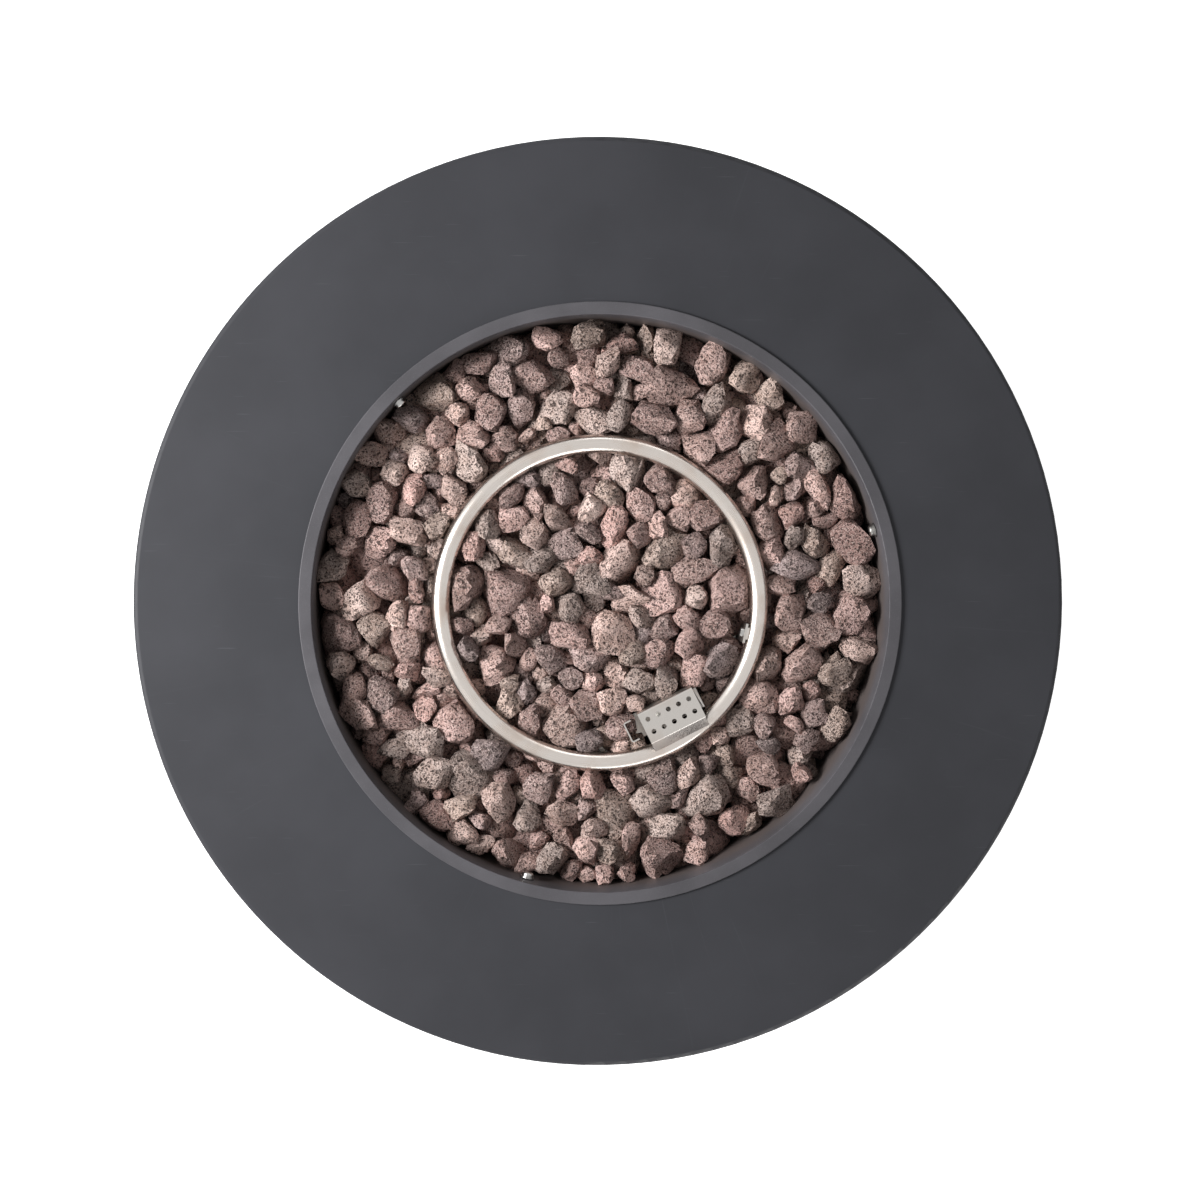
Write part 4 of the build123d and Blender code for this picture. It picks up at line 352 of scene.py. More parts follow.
    def relief(self, height: Socket, depth: float, strength: float = 1.0) -> None:
        """Gives the surface a bump.

        Args:
            height: The height pattern.
            depth: The height in metres of one unit.
            strength: How much of it shows.
        """
        node = self.tree.nodes.new("ShaderNodeBump")
        node.inputs["Strength"].default_value = strength
        node.inputs["Distance"].default_value = depth
        self.feed(node.inputs["Height"], height)
        self.feed(self.shader.inputs["Normal"], node.outputs["Normal"])


@dataclass(frozen=True)
class CastDeck:
    """Smooth cast surface in charcoal with soft mottling, wipe marks and hair scratches."""

    name: str
    colour: Colour
    shades: Span = (0.88, 1.1)
    marks: float = 0.32
    mark_factor: float = 2.2
    mark_lift: float = 0.02
    roughness: float = 0.56
    spread: Span = (-0.04, 0.05)
    gloss: float = 0.2
    scratch_scale: Place = (22.0, 620.0, 5.0)
    scratch_crest: Span = (0.755, 0.83)
    scratch_turns: tuple[Span, ...] = ((0.5, 3.1), (1.9, 7.7), (2.7, 1.3))

    def build(self) -> bpy.types.Material:
        """Builds the material.

        Returns:
            The material.
        """
        paint = Painter(self.name)
        place = paint.coordinates()
        clouds = paint.noise(place, scale=9.0, detail=6.0)
        grain = paint.noise(place, scale=900.0, detail=2.0)
        base = paint.mottle(clouds, self.colour, self.shades)
        swept = paint.polar(angle_scale=75.0, radius_scale=4.0, height_scale=6.0)
        streaks = paint.noise(swept, scale=1.0, detail=5.0, roughness=0.7)
        near_bowl = paint.band(paint.radius(), low=0.25, high=0.37, start=1.0, end=0.25)
        wipes = paint.math("MULTIPLY", paint.band(streaks, low=0.62, high=0.8), near_bowl)
        both = paint.math("ADD", wipes, self.scratches(paint))
        share = paint.math("MULTIPLY", both, self.marks)
        pale = tone(self.colour, self.mark_factor, self.mark_lift)
        paint.shade(
            {
                "Base Color": paint.mix(share, base, pale),
                "Roughness": paint.vary(clouds, self.roughness, self.spread),
                "Specular IOR Level": self.gloss,
            }
        )
        paint.relief(grain, depth=0.00006, strength=0.5)
        return paint.material

    def scratches(self, paint: Painter) -> Socket:
        """Thin lines in three directions: noise stretched along each, cut at its crest.

        Args:
            paint: The material's painter.

        Returns:
            A mask of the lines.
        """
        total: Socket | float = 0.0
        for turn, shift in self.scratch_turns:
            stretched = paint.mapped(self.scratch_scale, turn, shift)
            lines = paint.noise(stretched, scale=1.0, detail=1.0)
            total = paint.math("ADD", paint.band(lines, *self.scratch_crest), total)
        return total


@dataclass(frozen=True)
class GrainCoat:
    """Coating on sheet steel with a fine orange-peel grain whose crests carry a painted highlight,
    and, where asked, a painted brownish reflection of the stones lower down.
    """

    name: str
    colour: Colour
    roughness: float = 0.48
    spread: Span = (-0.06, 0.08)
    shades: Span = (0.82, 1.14)
    # How much lighter the painted highlight on the grain crests is, as a factor of the colour.
    crest_highlight_factor: float = 1.9
    grain: float = 1300.0
    # The brownish colour of the painted reflection of the stones' light on the lower wall, and the
    # heights over which it fades out.
    painted_stone_reflection: Colour | None = None
    painted_stone_reflection_heights: Span = (0.600, 0.628)
    gloss: float = 0.25

    def build(self) -> bpy.types.Material:
        """Builds the material.

        Returns:
            The material.
        """
        paint = Painter(self.name)
        place = paint.coordinates()
        grain = paint.noise(place, self.grain, detail=3.0, roughness=0.6)
        clouds = paint.noise(place, scale=14.0, detail=5.0)
        base = paint.mottle(clouds, self.colour, self.shades)
        # Painted highlight: the crests of the grain, which the bump raises, are painted lighter.
        highlighted_crests = paint.band(grain, low=0.56, high=0.72, start=0.0, end=0.28)
        base = paint.mix(highlighted_crests, base, tone(self.colour, self.crest_highlight_factor))
        # Painted reflection: below these heights the coat is painted brownish, for the light that
        # the stones throw on the wall.
        if self.painted_stone_reflection is not None:
            height = paint.split(place)[2]
            base = paint.mix(paint.band(height, *self.painted_stone_reflection_heights, 1.0, 0.0), base, self.painted_stone_reflection)
        paint.shade(
            {
                "Base Color": base,
                "Roughness": paint.vary(clouds, self.roughness, self.spread),
                "Specular IOR Level": self.gloss,
            }
        )
        paint.relief(grain, depth=0.00012, strength=0.6)
        return paint.material


@dataclass(frozen=True)
class BareMetal:
    """Bare metal with fine drawn lines, smears and an uneven tint."""

    name: str
    colour: Colour
    tint: Colour
    roughness: float = 0.24
    round_axis: bool = False
    line_factor: float = 0.62
    line_scale: Place = (1500.0, 110.0, 300.0)
    smear_spread: Span = (-0.05, 0.09)
    line_spread: Span = (-0.03, 0.05)

    def build(self) -> bpy.types.Material:
        """Builds the material.

        Returns:
            The material.
        """
        paint = Painter(self.name)
        if self.round_axis:
            drawn = paint.polar(angle_scale=6.0, radius_scale=1600.0, height_scale=1600.0)
        else:
            drawn = paint.mapped(self.line_scale)
        lines = paint.noise(drawn, scale=1.0, detail=3.0, roughness=0.7)
        smears = paint.noise(paint.coordinates(), scale=26.0, detail=5.0, roughness=0.6)
        base = paint.mix(paint.band(smears, low=0.42, high=0.72), self.colour, self.tint)
        grooves = paint.band(lines, low=0.35, high=0.75, start=0.0, end=0.22)
        base = paint.mix(grooves, base, tone(self.colour, self.line_factor))
        smeared = paint.vary(smears, 0.0, self.smear_spread)
        spread = paint.math("ADD", smeared, paint.vary(lines, 0.0, self.line_spread))
        paint.shade(
            {
                "Base Color": base,
                "Metallic": 1.0,
                "Roughness": paint.math("ADD", spread, self.roughness),
            }
        )
        paint.relief(lines, depth=0.00003, strength=0.35)
        return paint.material


@dataclass(frozen=True)
class Moulded:
    """Moulded plastic, rubber or ceramic with a fine skin texture and faint handling marks."""

    name: str
    colour: Colour
    roughness: float = 0.5
    skin: float = 1800.0
    depth: float = 0.00005
    spread: Span = (-0.06, 0.08)
    mark_factor: float = 1.25
    mark_lift: float = 0.006

    def build(self) -> bpy.types.Material:
        """Builds the material.

        Returns:
            The material.
        """
        paint = Painter(self.name)
        place = paint.coordinates()
        skin = paint.noise(place, self.skin, detail=2.0)
        marks = paint.noise(place, scale=60.0, detail=5.0, roughness=0.65)
        pale = tone(self.colour, self.mark_factor, self.mark_lift)
        paint.shade(
            {
                "Base Color": paint.mix(paint.band(marks, low=0.35, high=0.75), self.colour, pale),
                "Roughness": paint.vary(marks, self.roughness, self.spread),
            }
        )
        paint.relief(skin, self.depth, strength=0.6)
        return paint.material


@dataclass(frozen=True)
class LavaSkin:
    """Dusty lava stone: each stone's own colour, pores of three sizes painted dark as painted
    shade, and a rough grain painted pale where it rises (partly dust, partly a painted highlight)
    and dark where it sinks (partly grit, partly painted shade).
    """

    name: str
    pore_scale: float = 165.0
    shadow: Colour = (0.74, 0.69, 0.66)
    # Pale dust on the raised grain, partly a painted highlight.
    dust_and_highlight: Colour = (0.80, 0.67, 0.61)
    # Dark grit in the sunk grain, partly painted shade.
    grit_and_shade: Colour = (0.10, 0.068, 0.06)
    # Painted shade in the pores: its colour, and how much of it they take.
    pore_shade: Colour = (0.030, 0.020, 0.018)
    pore_shade_share: float = 0.86
    roughness: float = 0.92
    gloss: float = 0.2
    depth: float = 0.0026

    def build(self) -> bpy.types.Material:
        """Builds the material.

        Returns:
            The material.
        """
        paint = Painter(self.name)
        place = paint.coordinates()
        patches = paint.noise(place, scale=75.0, detail=4.0, roughness=0.6)
        grain = paint.noise(place, scale=800.0, detail=3.0, roughness=0.7)
        pores = self.pores(paint, place, patches)
        own = paint.attribute("stone_colour")
        base = paint.mix(paint.band(patches, low=0.3, high=0.72), own, self.shadow, "MULTIPLY")
        # Pale dust on the raised grain, partly a painted highlight; then dark grit in the sunk
        # grain, partly painted shade.
        base = paint.mix(paint.band(grain, low=0.48, high=0.7, end=0.6), base, self.dust_and_highlight)
        base = paint.mix(paint.band(grain, low=0.46, high=0.3, end=0.45), base, self.grit_and_shade)
        # Painted shade: the pores, which the bump sinks, are painted nearly black.
        base = paint.mix(paint.math("MULTIPLY", pores, self.pore_shade_share), base, self.pore_shade)
        paint.shade(
            {
                "Base Color": base,
                "Roughness": self.roughness,
                "Specular IOR Level": self.gloss,
            }
        )
        fine = paint.math("MULTIPLY", grain, 0.4)
        coarse = paint.math("MULTIPLY", patches, 1.2)
        swell = paint.math("ADD", fine, coarse)
        paint.relief(paint.math("SUBTRACT", swell, pores), self.depth)
        return paint.material

    def pores(self, paint: Painter, place: Socket, patches: Socket) -> Socket:
        """Pores of three sizes: wide ones in patches, middle ones and faint fine ones.

        Args:
            paint: The material's painter.
            place: The coordinates.
            patches: The noise that says where the wide pores crowd.

        Returns:
            A mask of the pores.
        """
        uneven = paint.wobble(place, scale=420.0, reach=0.0042)
        wide = paint.band(paint.cells(uneven, self.pore_scale), 0.14, 0.3, 1.0, 0.0)
        middle = paint.band(paint.cells(uneven, 2.2 * self.pore_scale), 0.17, 0.36, 1.0, 0.0)
        fine = paint.band(paint.cells(uneven, 4.4 * self.pore_scale), 0.2, 0.4, 1.0, 0.0)
        crowded = paint.math("MULTIPLY", wide, paint.band(patches, low=0.38, high=0.6))
        faint = paint.math("MULTIPLY", fine, 0.7)
        return paint.math("MAXIMUM", crowded, paint.math("MAXIMUM", middle, faint))


def put_mesh(
    name: str, points: np.ndarray, corners: np.ndarray, sizes: np.ndarray
) -> bpy.types.Object:
    """Makes a mesh object at the origin from whole arrays.

    Args:
        name: The object's name.
        points: The vertices, one row each, in metres.
        corners: The vertex numbers of all faces, one after the other.
        sizes: The number of corners of each face.

    Returns:
        The new object.
    """
    starts = np.concatenate(([0], np.cumsum(sizes)[:-1]))
    mesh = bpy.data.meshes.new(name)
    mesh.vertices.add(len(points))
    mesh.vertices.foreach_set("co", points.astype(np.float32).ravel())
    mesh.loops.add(len(corners))
    mesh.loops.foreach_set("vertex_index", corners.astype(np.int32))
    mesh.polygons.add(len(sizes))
    mesh.polygons.foreach_set("loop_start", starts.astype(np.int32))
    mesh.polygons.foreach_set("use_smooth", np.ones(len(sizes), bool))
    mesh.update(calc_edges=True)
    mesh.validate()
    piece = bpy.data.objects.new(name, mesh)
    bpy.context.scene.collection.objects.link(piece)
    return piece


def globe(rows: int, columns: int) -> tuple[np.ndarray, np.ndarray, np.ndarray]:
    """Directions on a ball: a grid of polar angle and azimuth with one point at each pole.

    Args:
        rows: Rings between the poles.
        columns: Points in each ring.

    Returns:
        The unit directions, the corners of the faces and the number of corners of each face.
    """
    polar = np.pi * np.arange(1, rows + 1)[:, None] / (rows + 1)
    half_steps = 0.5 * (np.arange(rows)[:, None] % 2)
    azimuth = 2 * np.pi * (np.arange(columns)[None, :] + half_steps) / columns
    level = np.broadcast_to(np.cos(polar), azimuth.shape)
    grid = np.stack((np.sin(polar) * np.cos(azimuth), np.sin(polar) * np.sin(azimuth), level), -1)
    directions = np.concatenate((grid.reshape(-1, 3), [[0, 0, 1], [0, 0, -1]]))
    here = np.arange(rows * columns).reshape(rows, columns)
    beside = np.roll(here, -1, axis=1)
    quads = np.stack((here[:-1], here[1:], beside[1:], beside[:-1]), -1).reshape(-1, 4)
    top = np.stack((np.full(columns, rows * columns), here[0], beside[0]), -1)
    bottom = np.stack((np.full(columns, rows * columns + 1), beside[-1], here[-1]), -1)
    corners = np.concatenate((quads.ravel(), top.ravel(), bottom.ravel()))
    sizes = np.concatenate((np.full(len(quads), 4), np.full(2 * columns, 3)))
    return directions, corners, sizes


@dataclass(frozen=True)
class Hearth:
    """What the stones lie in and round, in metres: bowl, ring, feed tube, supports and hood.

    Each share is the part of a ball's radius that stays clear of that piece, because a stone can
    lie a little closer than the ball that stands for it.
    """

    wall_radius: float = 0.2335
    wall_share: float = 0.96
    floor_height: float = 0.5552
    level_share: float = 0.9
    ring_radius: float = 0.132
    ring_height: float = 0.6048
    ring_share: float = 0.93
    tube_radius: float = 0.0082
    crown: float = 0.004
    feed: tuple[float, float, float] = (0.0, -0.132, 0.012)
    support_angles: tuple[float, ...] = (-11.7, 108.3, 228.3)
    support_reaches: tuple[float, ...] = (0.118, 0.132, 0.132)
    support_room: float = 0.009
    post_share: float = 0.85
    hood_angle: float = math.radians(-58.3)
    hood_reach: float = 0.1135
    hood_turn: float = math.radians(26.4)
    hood_half: Span = (0.029, 0.0175)
    hood_share: float = 0.8

    def keep_out(self, places: np.ndarray, radii: np.ndarray) -> None:
        """Moves balls out of the wall, the floor, the ring, its posts and the igniter hood.

        Args:
            places: The centres, changed in place.
            radii: The radii.
        """
        self.hold_in_bowl(places, radii)
        self.clear_ring(places, radii)
        self.clear_posts(places, radii)
        self.clear_hood(places, radii)

    def hold_in_bowl(self, places: np.ndarray, radii: np.ndarray) -> None:
        """Keeps balls inside the wall, over the floor and below the crown of the bed.

        Args:
            places: The centres, changed in place.
            radii: The radii.
        """
        reach = np.hypot(places[:, 0], places[:, 1]) + TINY
        over = np.clip(reach - (self.wall_radius - self.wall_share * radii), 0, None)
        places[:, :2] -= places[:, :2] * (over / reach)[:, None]
        lowest = self.floor_height + self.level_share * radii
        highest = self.ring_height + self.crown - self.level_share * radii
        places[:, 2] = np.minimum(np.maximum(places[:, 2], lowest), highest)

    def clear_ring(self, places: np.ndarray, radii: np.ndarray) -> None:
        """Pushes balls off the ring: sideways above its middle, straight away from it below.

        Args:
            places: The centres, changed in place.
            radii: The radii.
        """
        reach = np.hypot(places[:, 0], places[:, 1]) + TINY
        side = reach - self.ring_radius
        above = places[:, 2] - self.ring_height
        away = np.hypot(side, above) + TINY
        lap = np.clip(self.tube_radius + self.ring_share * radii - away, 0, None)
        level = np.where(above > 0, np.sign(side) * lap, side / away * lap)
        places[:, :2] += places[:, :2] * (level / reach)[:, None]
        places[:, 2] += np.where(above > 0, 0.0, above / away * lap)

    def posts(self) -> list[tuple[float, float, float]]:
        """Gives the place and the room of each upright piece under the ring.

        Returns:
            For the feed tube and each support, its place across and along and its radius.
        """
        posts = [self.feed]
        for degrees, reach in zip(self.support_angles, self.support_reaches, strict=True):
            angle = math.radians(degrees)
            posts.append((reach * math.cos(angle), reach * math.sin(angle), self.support_room))
        return posts

    def clear_posts(self, places: np.ndarray, radii: np.ndarray) -> None:
        """Pushes balls off the feed tube and the supports.

        Args:
            places: The centres, changed in place.
            radii: The radii.
        """
        for across, along, room in self.posts():
            apart = places[:, :2] - (across, along)
            distance = np.hypot(apart[:, 0], apart[:, 1]) + TINY
            lap = np.clip(room + self.post_share * radii - distance, 0, None)
            places[:, :2] += apart * (lap / distance)[:, None]

    def clear_hood(self, places: np.ndarray, radii: np.ndarray) -> None:
        """Pushes balls out of the hood's rectangle by the shorter way.

        Args:
            places: The centres, changed in place.
            radii: The radii.
        """
        toward = np.array((math.cos(self.hood_angle), math.sin(self.hood_angle)))
        along = np.array((math.cos(self.hood_turn), math.sin(self.hood_turn)))
        across = np.array((-along[1], along[0]))
        offset = places[:, :2] - self.hood_reach * toward
        local = np.stack((offset @ along, offset @ across), -1)
        depth = np.array(self.hood_half) + self.hood_share * radii[:, None] - np.abs(local)
        inside = (depth > 0).all(1)
        shorter = depth[:, 0] < depth[:, 1]
        shift = np.sign(local) * depth * np.stack((shorter, ~shorter), -1) * inside[:, None]
        places[:, :2] += shift[:, :1] * along + shift[:, 1:] * across

    def under_ring(self, body: np.ndarray) -> np.ndarray:
        """Presses what lies over the ring down to the underside of its tube, a circle in section.

        Args:
            body: The vertices of all stones.

        Returns:
            The heights of the vertices.
        """
        side = np.hypot(body[..., 0], body[..., 1]) - self.ring_radius
        half = np.sqrt(np.clip(self.tube_radius**2 - side**2, 0, None))
        return np.where(half > 0, np.minimum(body[..., 2], self.ring_height - half), body[..., 2])


@dataclass(frozen=True)
class StoneForm:
    """The form of a stone, a rounded polyhedron.

    Its distance along a direction is the soft smallest, by a power mean, of the distances to a set
    of random planes. Low waves make it lumpy, and it is stretched and turned.
    """

    planes: int = 13
    tilt: float = 0.28
    depths: Span = (0.74, 1.14)
    sharpness: Span = (12, 30)
    least: float = 1e-6
    waves: int = 3
    wave_density: float = 5.0
    wave_height: float = 0.042
    lengths: Span = (1.0, 1.32)
    width: float = 1.04
    heights: Span = (0.74, 1.0)
    pitch: float = 0.38
    roll: float = 0.5

    def shape(
        self,
        chance: np.random.Generator,
        places: np.ndarray,
        radii: np.ndarray,
        directions: np.ndarray,
    ) -> np.ndarray:
        """Gives each ball the form of a stone.

        Args:
            chance: The seeded source of numbers.
            places: The centres.
            radii: The radii.
            directions: The unit directions of the mesh.

        Returns:
            The vertices of all stones: stone, vertex, coordinate.
        """
        count = len(radii)
        axes = np.concatenate((np.eye(3), -np.eye(3)))
        free = (count, self.planes - len(axes), 3)
        normals = np.concatenate((np.tile(axes, (count, 1, 1)), np.zeros(free)), 1)
        normals += chance.normal(0, self.tilt, normals.shape)
        normals[:, len(axes) :] += chance.normal(0, 1, free)
        normals /= np.linalg.norm(normals, axis=-1, keepdims=True)
        depths = chance.uniform(*self.depths, (count, self.planes))
        facing = np.clip(np.einsum("vi,spi->svp", directions, normals), 0, None)
        facing = facing / depths[:, None, :]
        sharpness = chance.uniform(*self.sharpness, (count, 1, 1))
        reach = ((facing**sharpness).sum(-1) + self.least) ** (-1 / sharpness[:, :, 0])
        waves = chance.normal(0, self.wave_density, (self.waves, count, 3))
        phases = chance.uniform(0, 2 * np.pi, (self.waves, count, 1))
        lumps = sum(
            np.sin(np.einsum("vi,si->sv", directions, wave) + phase)
            for wave, phase in zip(waves, phases, strict=True)
        )
        body = directions[None] * (reach * (1 + self.wave_height * lumps))[..., None]
        long = chance.uniform(*self.lengths, count)
        flat = chance.uniform(*self.heights, count)
        stretch = np.stack((long, 1 / np.sqrt(long) * self.width, flat), -1) * radii[:, None]
        body = body * stretch[:, None, :]
        yaw = chance.uniform(0, 2 * np.pi, count)
        pitch = chance.normal(0, self.pitch, count)
        roll = chance.normal(0, self.roll, count)
        body = self.turn(self.turn(self.turn(body, roll, 1, 2), pitch, 2, 0), yaw, 0, 1)
        return body + places[:, None, :]

    @staticmethod
    def turn(body: np.ndarray, angle: np.ndarray, first: int, second: int) -> np.ndarray:
        """Turns each stone by its own angle in the plane of two axes.

        Args:
            body: The vertices of all stones.
            angle: One angle for each stone.
            first: The axis that turns towards the second.
            second: The other axis.

        Returns:
            The turned vertices.
        """
        result = body.copy()
        cosine, sine = np.cos(angle)[:, None], np.sin(angle)[:, None]
        result[..., first] = body[..., first] * cosine - body[..., second] * sine
        result[..., second] = body[..., first] * sine + body[..., second] * cosine
        return result


@dataclass(frozen=True)
class LavaBed:
    """The loose bed of lava stones: balls settle round the burner, then each becomes a stone."""

    hearth: Hearth = Hearth()
    form: StoneForm = StoneForm()
    seed: int = 23
    count: int = 870
    fillers: int = 125
    middle_size: float = 0.0092
    size_spread: float = 0.34
    sizes: Span = (0.005, 0.0195)
    filler_sizes: Span = (0.0155, 0.019)
    filler_rise: float = 0.012
    drops: Span = (0.03, 0.075)
    scatter: float = 0.95
    contact: float = 1.03
    steps: int = 200
    sink: float = 0.0011
    push_ease: float = 0.9
    push_share: float = 0.5
    upper_from: float = 0.5825
    upper_grid: tuple[int, int] = (8, 12)
    lower_grid: tuple[int, int] = (5, 8)
    crease: float = math.radians(34)
    lightness: Span = (0.8, 1.58)
    palette: tuple[tuple[Colour, float], ...] = (
        ((0.47, 0.325, 0.295), 0.2),
        ((0.42, 0.285, 0.262), 0.2),
        ((0.51, 0.370, 0.330), 0.12),
        ((0.43, 0.328, 0.284), 0.12),
        ((0.37, 0.292, 0.264), 0.12),
        ((0.33, 0.240, 0.226), 0.08),
        ((0.45, 0.290, 0.262), 0.08),
        ((0.56, 0.430, 0.388), 0.05),
        ((0.27, 0.210, 0.205), 0.03),
    )

    def settle(self, chance: np.random.Generator) -> tuple[np.ndarray, np.ndarray]:
        """Drops balls into the bowl: in each step they sink, push apart and leave the burner.

        Args:
            chance: The seeded source of numbers.

        Returns:
            The centres and the radii.
        """
        drawn = chance.lognormal(math.log(self.middle_size), self.size_spread, self.count)
        radii = np.clip(drawn, *self.sizes)
        radii[: self.fillers] = chance.uniform(*self.filler_sizes, self.fillers)
        bearing = chance.uniform(0, 2 * np.pi, self.count)
        widest = self.hearth.wall_radius * self.scatter
        reach = widest * np.sqrt(chance.uniform(0, 1, self.count))
        lowest, highest = (self.hearth.floor_height + drop for drop in self.drops)
        rise = chance.uniform(lowest, highest, self.count)
        rise[: self.fillers] = self.hearth.floor_height + self.filler_rise
        places = np.stack((reach * np.cos(bearing), reach * np.sin(bearing), rise), -1)
        contact = self.contact * (radii[:, None] + radii[None, :])
        for step in range(self.steps):
            places[:, 2] -= self.sink * (1 - step / self.steps)
            apart = places[:, None] - places[None, :]
            distance = np.sqrt((apart**2).sum(-1)) + np.eye(self.count)
            lap = np.clip(contact - distance, 0, None)
            touching = np.maximum((lap > 0).sum(1), 1)
            push = (lap / distance)[..., None] * apart
            ease = (self.push_ease / np.sqrt(touching))[:, None]
            places += push.sum(1) * ease * self.push_share
            self.hearth.keep_out(places, radii)
        return places, radii

    def colours(self, chance: np.random.Generator, count: int) -> np.ndarray:
        """Picks a colour from the palette for each stone and varies its lightness.

        Args:
            chance: The seeded source of numbers.
            count: The number of stones.

        Returns:
            One colour for each stone.
        """
        shades = np.array([colour for colour, _ in self.palette])
        weights = np.array([weight for _, weight in self.palette])
        picks = chance.choice(len(shades), count, p=weights / weights.sum())
        return shades[picks] * chance.uniform(*self.lightness, (count, 1))

    def build(self) -> None:
        """Builds the two layers and dresses them."""
        chance = np.random.default_rng(self.seed)
        places, radii = self.settle(chance)
        high = places[:, 2] + radii > self.upper_from
        skin = LavaSkin("lava_skin").build()
        layers = ((Layer.UPPER, high, self.upper_grid), (Layer.LOWER, ~high, self.lower_grid))
        for layer, chosen, grid in layers:
            directions, corners, sizes = globe(*grid)
            body = self.form.shape(chance, places[chosen], radii[chosen], directions)
            body[..., 2] = np.maximum(self.hearth.under_ring(body), self.hearth.floor_height)
            count = len(body)
            name = layer.value.replace("rocks", "stones")
            first = len(directions) * np.arange(count)[:, None]
            loops = (corners[None] + first).ravel()
            piece = put_mesh(name, body.reshape(-1, 3), loops, np.tile(sizes, count))
            own = np.concatenate((self.colours(chance, count), np.ones((count, 1))), 1)
            colours = np.repeat(own, len(directions), axis=0).astype(np.float32)
            store = piece.data.attributes.new("stone_colour", "FLOAT_COLOR", "POINT")
            store.data.foreach_set("color", colours.ravel())
            piece.data.materials.append(skin)
            piece.data.set_sharp_from_angle(angle=self.crease)
            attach(piece, PIT)
            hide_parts(layer.value)
            log.info("%s: %d stones", name, count)


@dataclass(frozen=True)
class Wardrobe:
    """Gives every solid of the frame its finish."""

    ring_node: str = "burner_ring"
    ring: BareMetal = BareMetal(
        "ring_stainless", (0.62, 0.57, 0.53), (0.50, 0.42, 0.365), 0.22, round_axis=True
    )
    finishes: dict[str, CastDeck | GrainCoat | BareMetal | Moulded] = field(
        default_factory=lambda: {
            "deck_concrete": CastDeck("charcoal_cast", (0.034, 0.0345, 0.0395)),
            # The bowl's lower wall carries a painted brownish reflection of the stones.
            "bowl_coating": GrainCoat(
                "bowl_coat", (0.075, 0.072, 0.079), painted_stone_reflection=(0.085, 0.070, 0.066)
            ),
            "bright_steel": BareMetal(
                "bright_zinc", (0.44, 0.43, 0.42), (0.34, 0.33, 0.31), 0.24
            ),
            "stainless": BareMetal(
                "satin_stainless", (0.52, 0.49, 0.46), (0.42, 0.37, 0.33), 0.3
            ),
            "aluminised_steel": BareMetal(
                "dull_aluminised", (0.58, 0.58, 0.58), (0.48, 0.48, 0.47), 0.42
            ),
            "insert_brass": BareMetal(
                "turned_brass", (0.78, 0.60, 0.28), (0.62, 0.46, 0.2), 0.3
            ),
            "ceramic": Moulded("white_ceramic", (0.8, 0.78, 0.73), 0.4),
            "black_steel": GrainCoat("black_powder", (0.036, 0.037, 0.040), 0.52),
            "valve_aluminium": BareMetal(
                "cast_aluminium", (0.74, 0.75, 0.76), (0.62, 0.63, 0.64), 0.38
            ),
            "black_plastic": Moulded("black_moulding", (0.022, 0.022, 0.024), 0.46),
            "red_plastic": Moulded("red_moulding", (0.42, 0.035, 0.028), 0.4),
            "foot_rubber": Moulded(
                "foot_rubber", (0.024, 0.024, 0.024), 0.75, skin=700.0, depth=0.0001
            ),
            "lead_sleeve": Moulded("silicone_sleeve", (0.20, 0.04, 0.035), 0.55),
        }
    )

    def dress(self) -> None:
        """Puts each slot's material on the solids of that slot, and the ring's own on the ring."""
        ring = self.ring.build()
        built = {slot: finish.build() for slot, finish in self.finishes.items()}
        for entry in frame["record"]["subparts"]:
            node, slot = entry["node"], entry["material_slot"]
            if slot not in built:
                continue
            solid = frame["nodes"][node]
            solid.data.materials.clear()
            solid.data.materials.append(ring if node == self.ring_node else built[slot])
            log.info("%s wears %s", node, slot)


@dataclass(frozen=True)
class Lamp:
    """A square soft lamp: where it hangs, its power in watts and the side of the square."""

    name: str
    place: Place
    power: float
    width: float


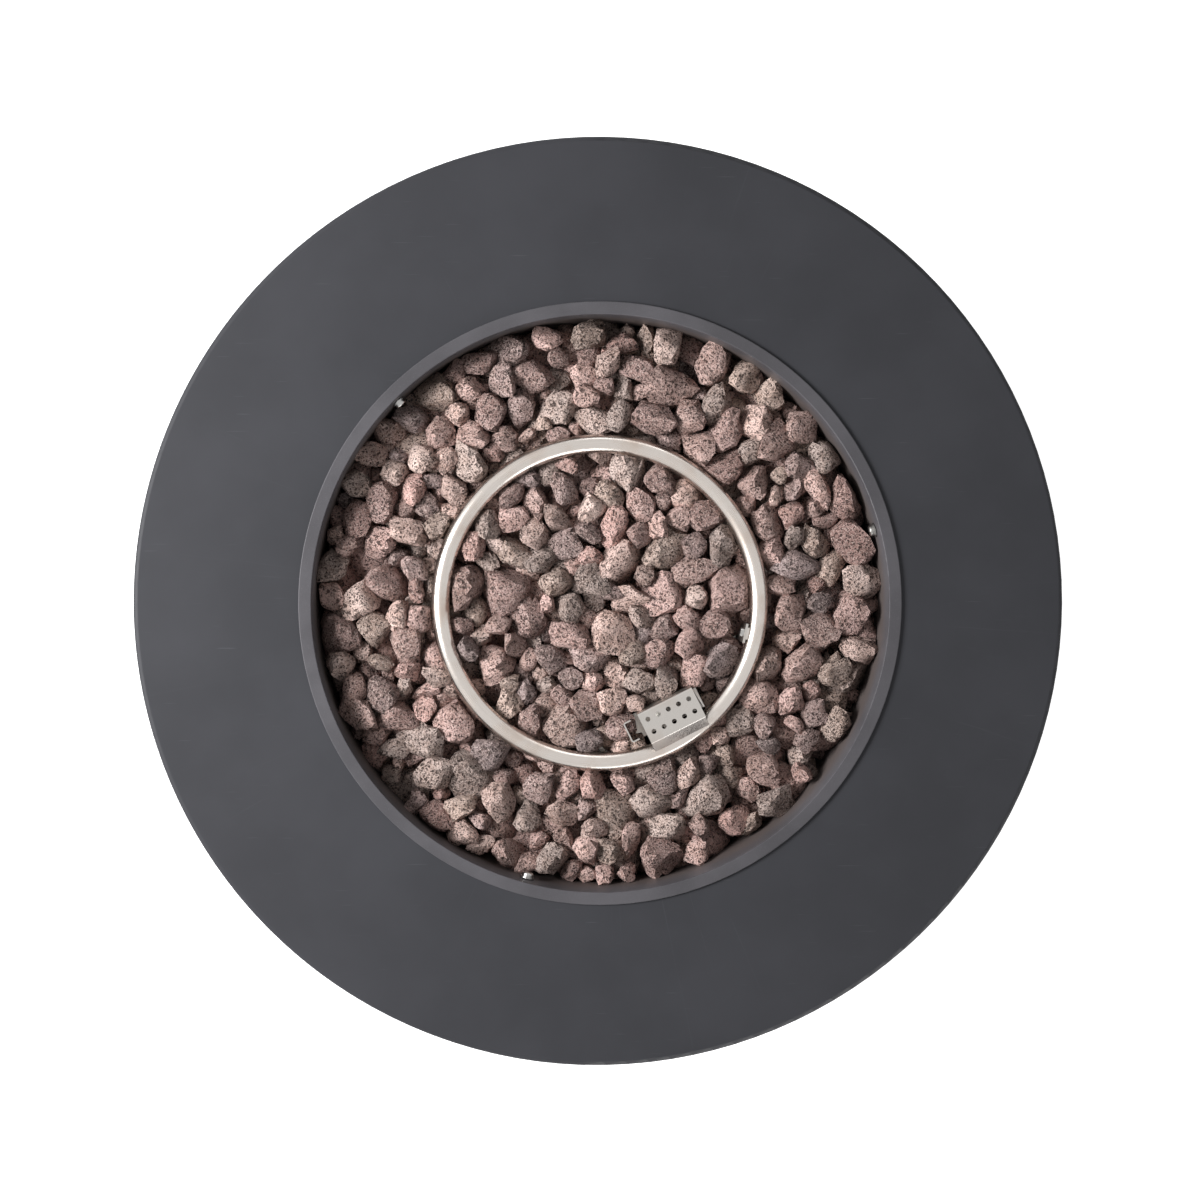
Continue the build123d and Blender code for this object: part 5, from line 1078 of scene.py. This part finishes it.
@dataclass(frozen=True)
class Studio:
    """Pale floor, soft lamps and a camera that looks down, a little from the upper left."""

    aim: Vector = field(default_factory=lambda: Vector((-0.0011, 0.0036, 0.63)))
    eye: Vector = field(default_factory=lambda: Vector((-0.0773, 0.0781, 2.63)))
    half_width: float = 0.491
    lamps: tuple[Lamp, ...] = (
        Lamp("left_softbox", (-1.49, 0.12, 1.7), 66.0, 0.8),
        Lamp("front_fill", (0.7, -2.1, 0.95), 20.0, 1.4),
        Lamp("rear_fill", (0.5, 2.2, 0.95), 9.0, 1.4),
    )
    world_light: float = 0.21
    world_seen: float = 1.0
    floor_half: float = 9.0
    floor_grey: float = 0.8
    floor_roughness: float = 0.8
    floor_glow: float = 0.84

    def floor(self) -> None:
        """Lays a wide plane that shows white and takes the shadow of the table."""
        paint = Painter("pale_floor")
        glow = paint.math("MULTIPLY", seen_rays(paint.tree), self.floor_glow)
        paint.shade(
            {
                "Base Color": (self.floor_grey, self.floor_grey, self.floor_grey),
                "Roughness": self.floor_roughness,
                "Emission Color": WHITE,
                "Emission Strength": glow,
            }
        )
        signs = ((-1, -1, 0), (1, -1, 0), (1, 1, 0), (-1, 1, 0))
        points = self.floor_half * np.array(signs)
        plane = put_mesh("floor_plane", points, np.arange(len(points)), np.array([len(points)]))
        plane.data.materials.append(paint.material)

    def hang(self, lamp: Lamp) -> None:
        """Hangs a lamp so that it faces the table.

        Args:
            lamp: The lamp.
        """
        light = bpy.data.lights.new(lamp.name, "AREA")
        light.energy = lamp.power
        light.size = lamp.width
        hung = bpy.data.objects.new(lamp.name, light)
        hung.location = lamp.place
        hung.rotation_euler = (self.aim - Vector(lamp.place)).to_track_quat("-Z", "Y").to_euler()
        bpy.context.scene.collection.objects.link(hung)

    def world(self) -> None:
        """Lights the world evenly: dim as a light, white where the camera sees it."""
        world = bpy.data.worlds.new("studio")
        world.use_nodes = True
        bpy.context.scene.world = world
        tree = world.node_tree
        level = tree.nodes.new("ShaderNodeMapRange")
        tree.links.new(seen_rays(tree), level.inputs["Value"])
        level.inputs["To Min"].default_value = self.world_light
        level.inputs["To Max"].default_value = self.world_seen
        background = tree.nodes["Background"]
        background.inputs["Color"].default_value = (*WHITE, 1.0)
        tree.links.new(level.outputs["Result"], background.inputs["Strength"])

    def camera(self) -> None:
        """Sets the camera: its half angle of view sees half_width at the deck."""
        lens = bpy.data.cameras.new("above")
        lens.sensor_fit = "HORIZONTAL"
        lens.angle = 2 * math.atan(self.half_width / (self.eye - self.aim).length)
        seat = bpy.data.objects.new("above", lens)
        back = (self.eye - self.aim).normalized()
        right = Vector((0.0, 1.0, 0.0)).cross(back).normalized()
        up = back.cross(right)
        seat.matrix_world = Matrix(
            (
                (right.x, up.x, back.x, self.eye.x),
                (right.y, up.y, back.y, self.eye.y),
                (right.z, up.z, back.z, self.eye.z),
                (0.0, 0.0, 0.0, 1.0),
            )
        )
        bpy.context.scene.collection.objects.link(seat)
        bpy.context.scene.camera = seat

    def build(self) -> None:
        """Sets the stage."""
        self.floor()
        for lamp in self.lamps:
            self.hang(lamp)
        self.world()
        self.camera()
        bpy.context.scene.view_settings.view_transform = "Standard"


def main() -> None:
    """Sets the stage, dresses the solids and lays the stones."""
    logging.basicConfig(level=logging.INFO, format="%(name)s: %(message)s")
    Studio().build()
    Wardrobe().dress()
    LavaBed().build()


if __name__ == "__main__":
    main()
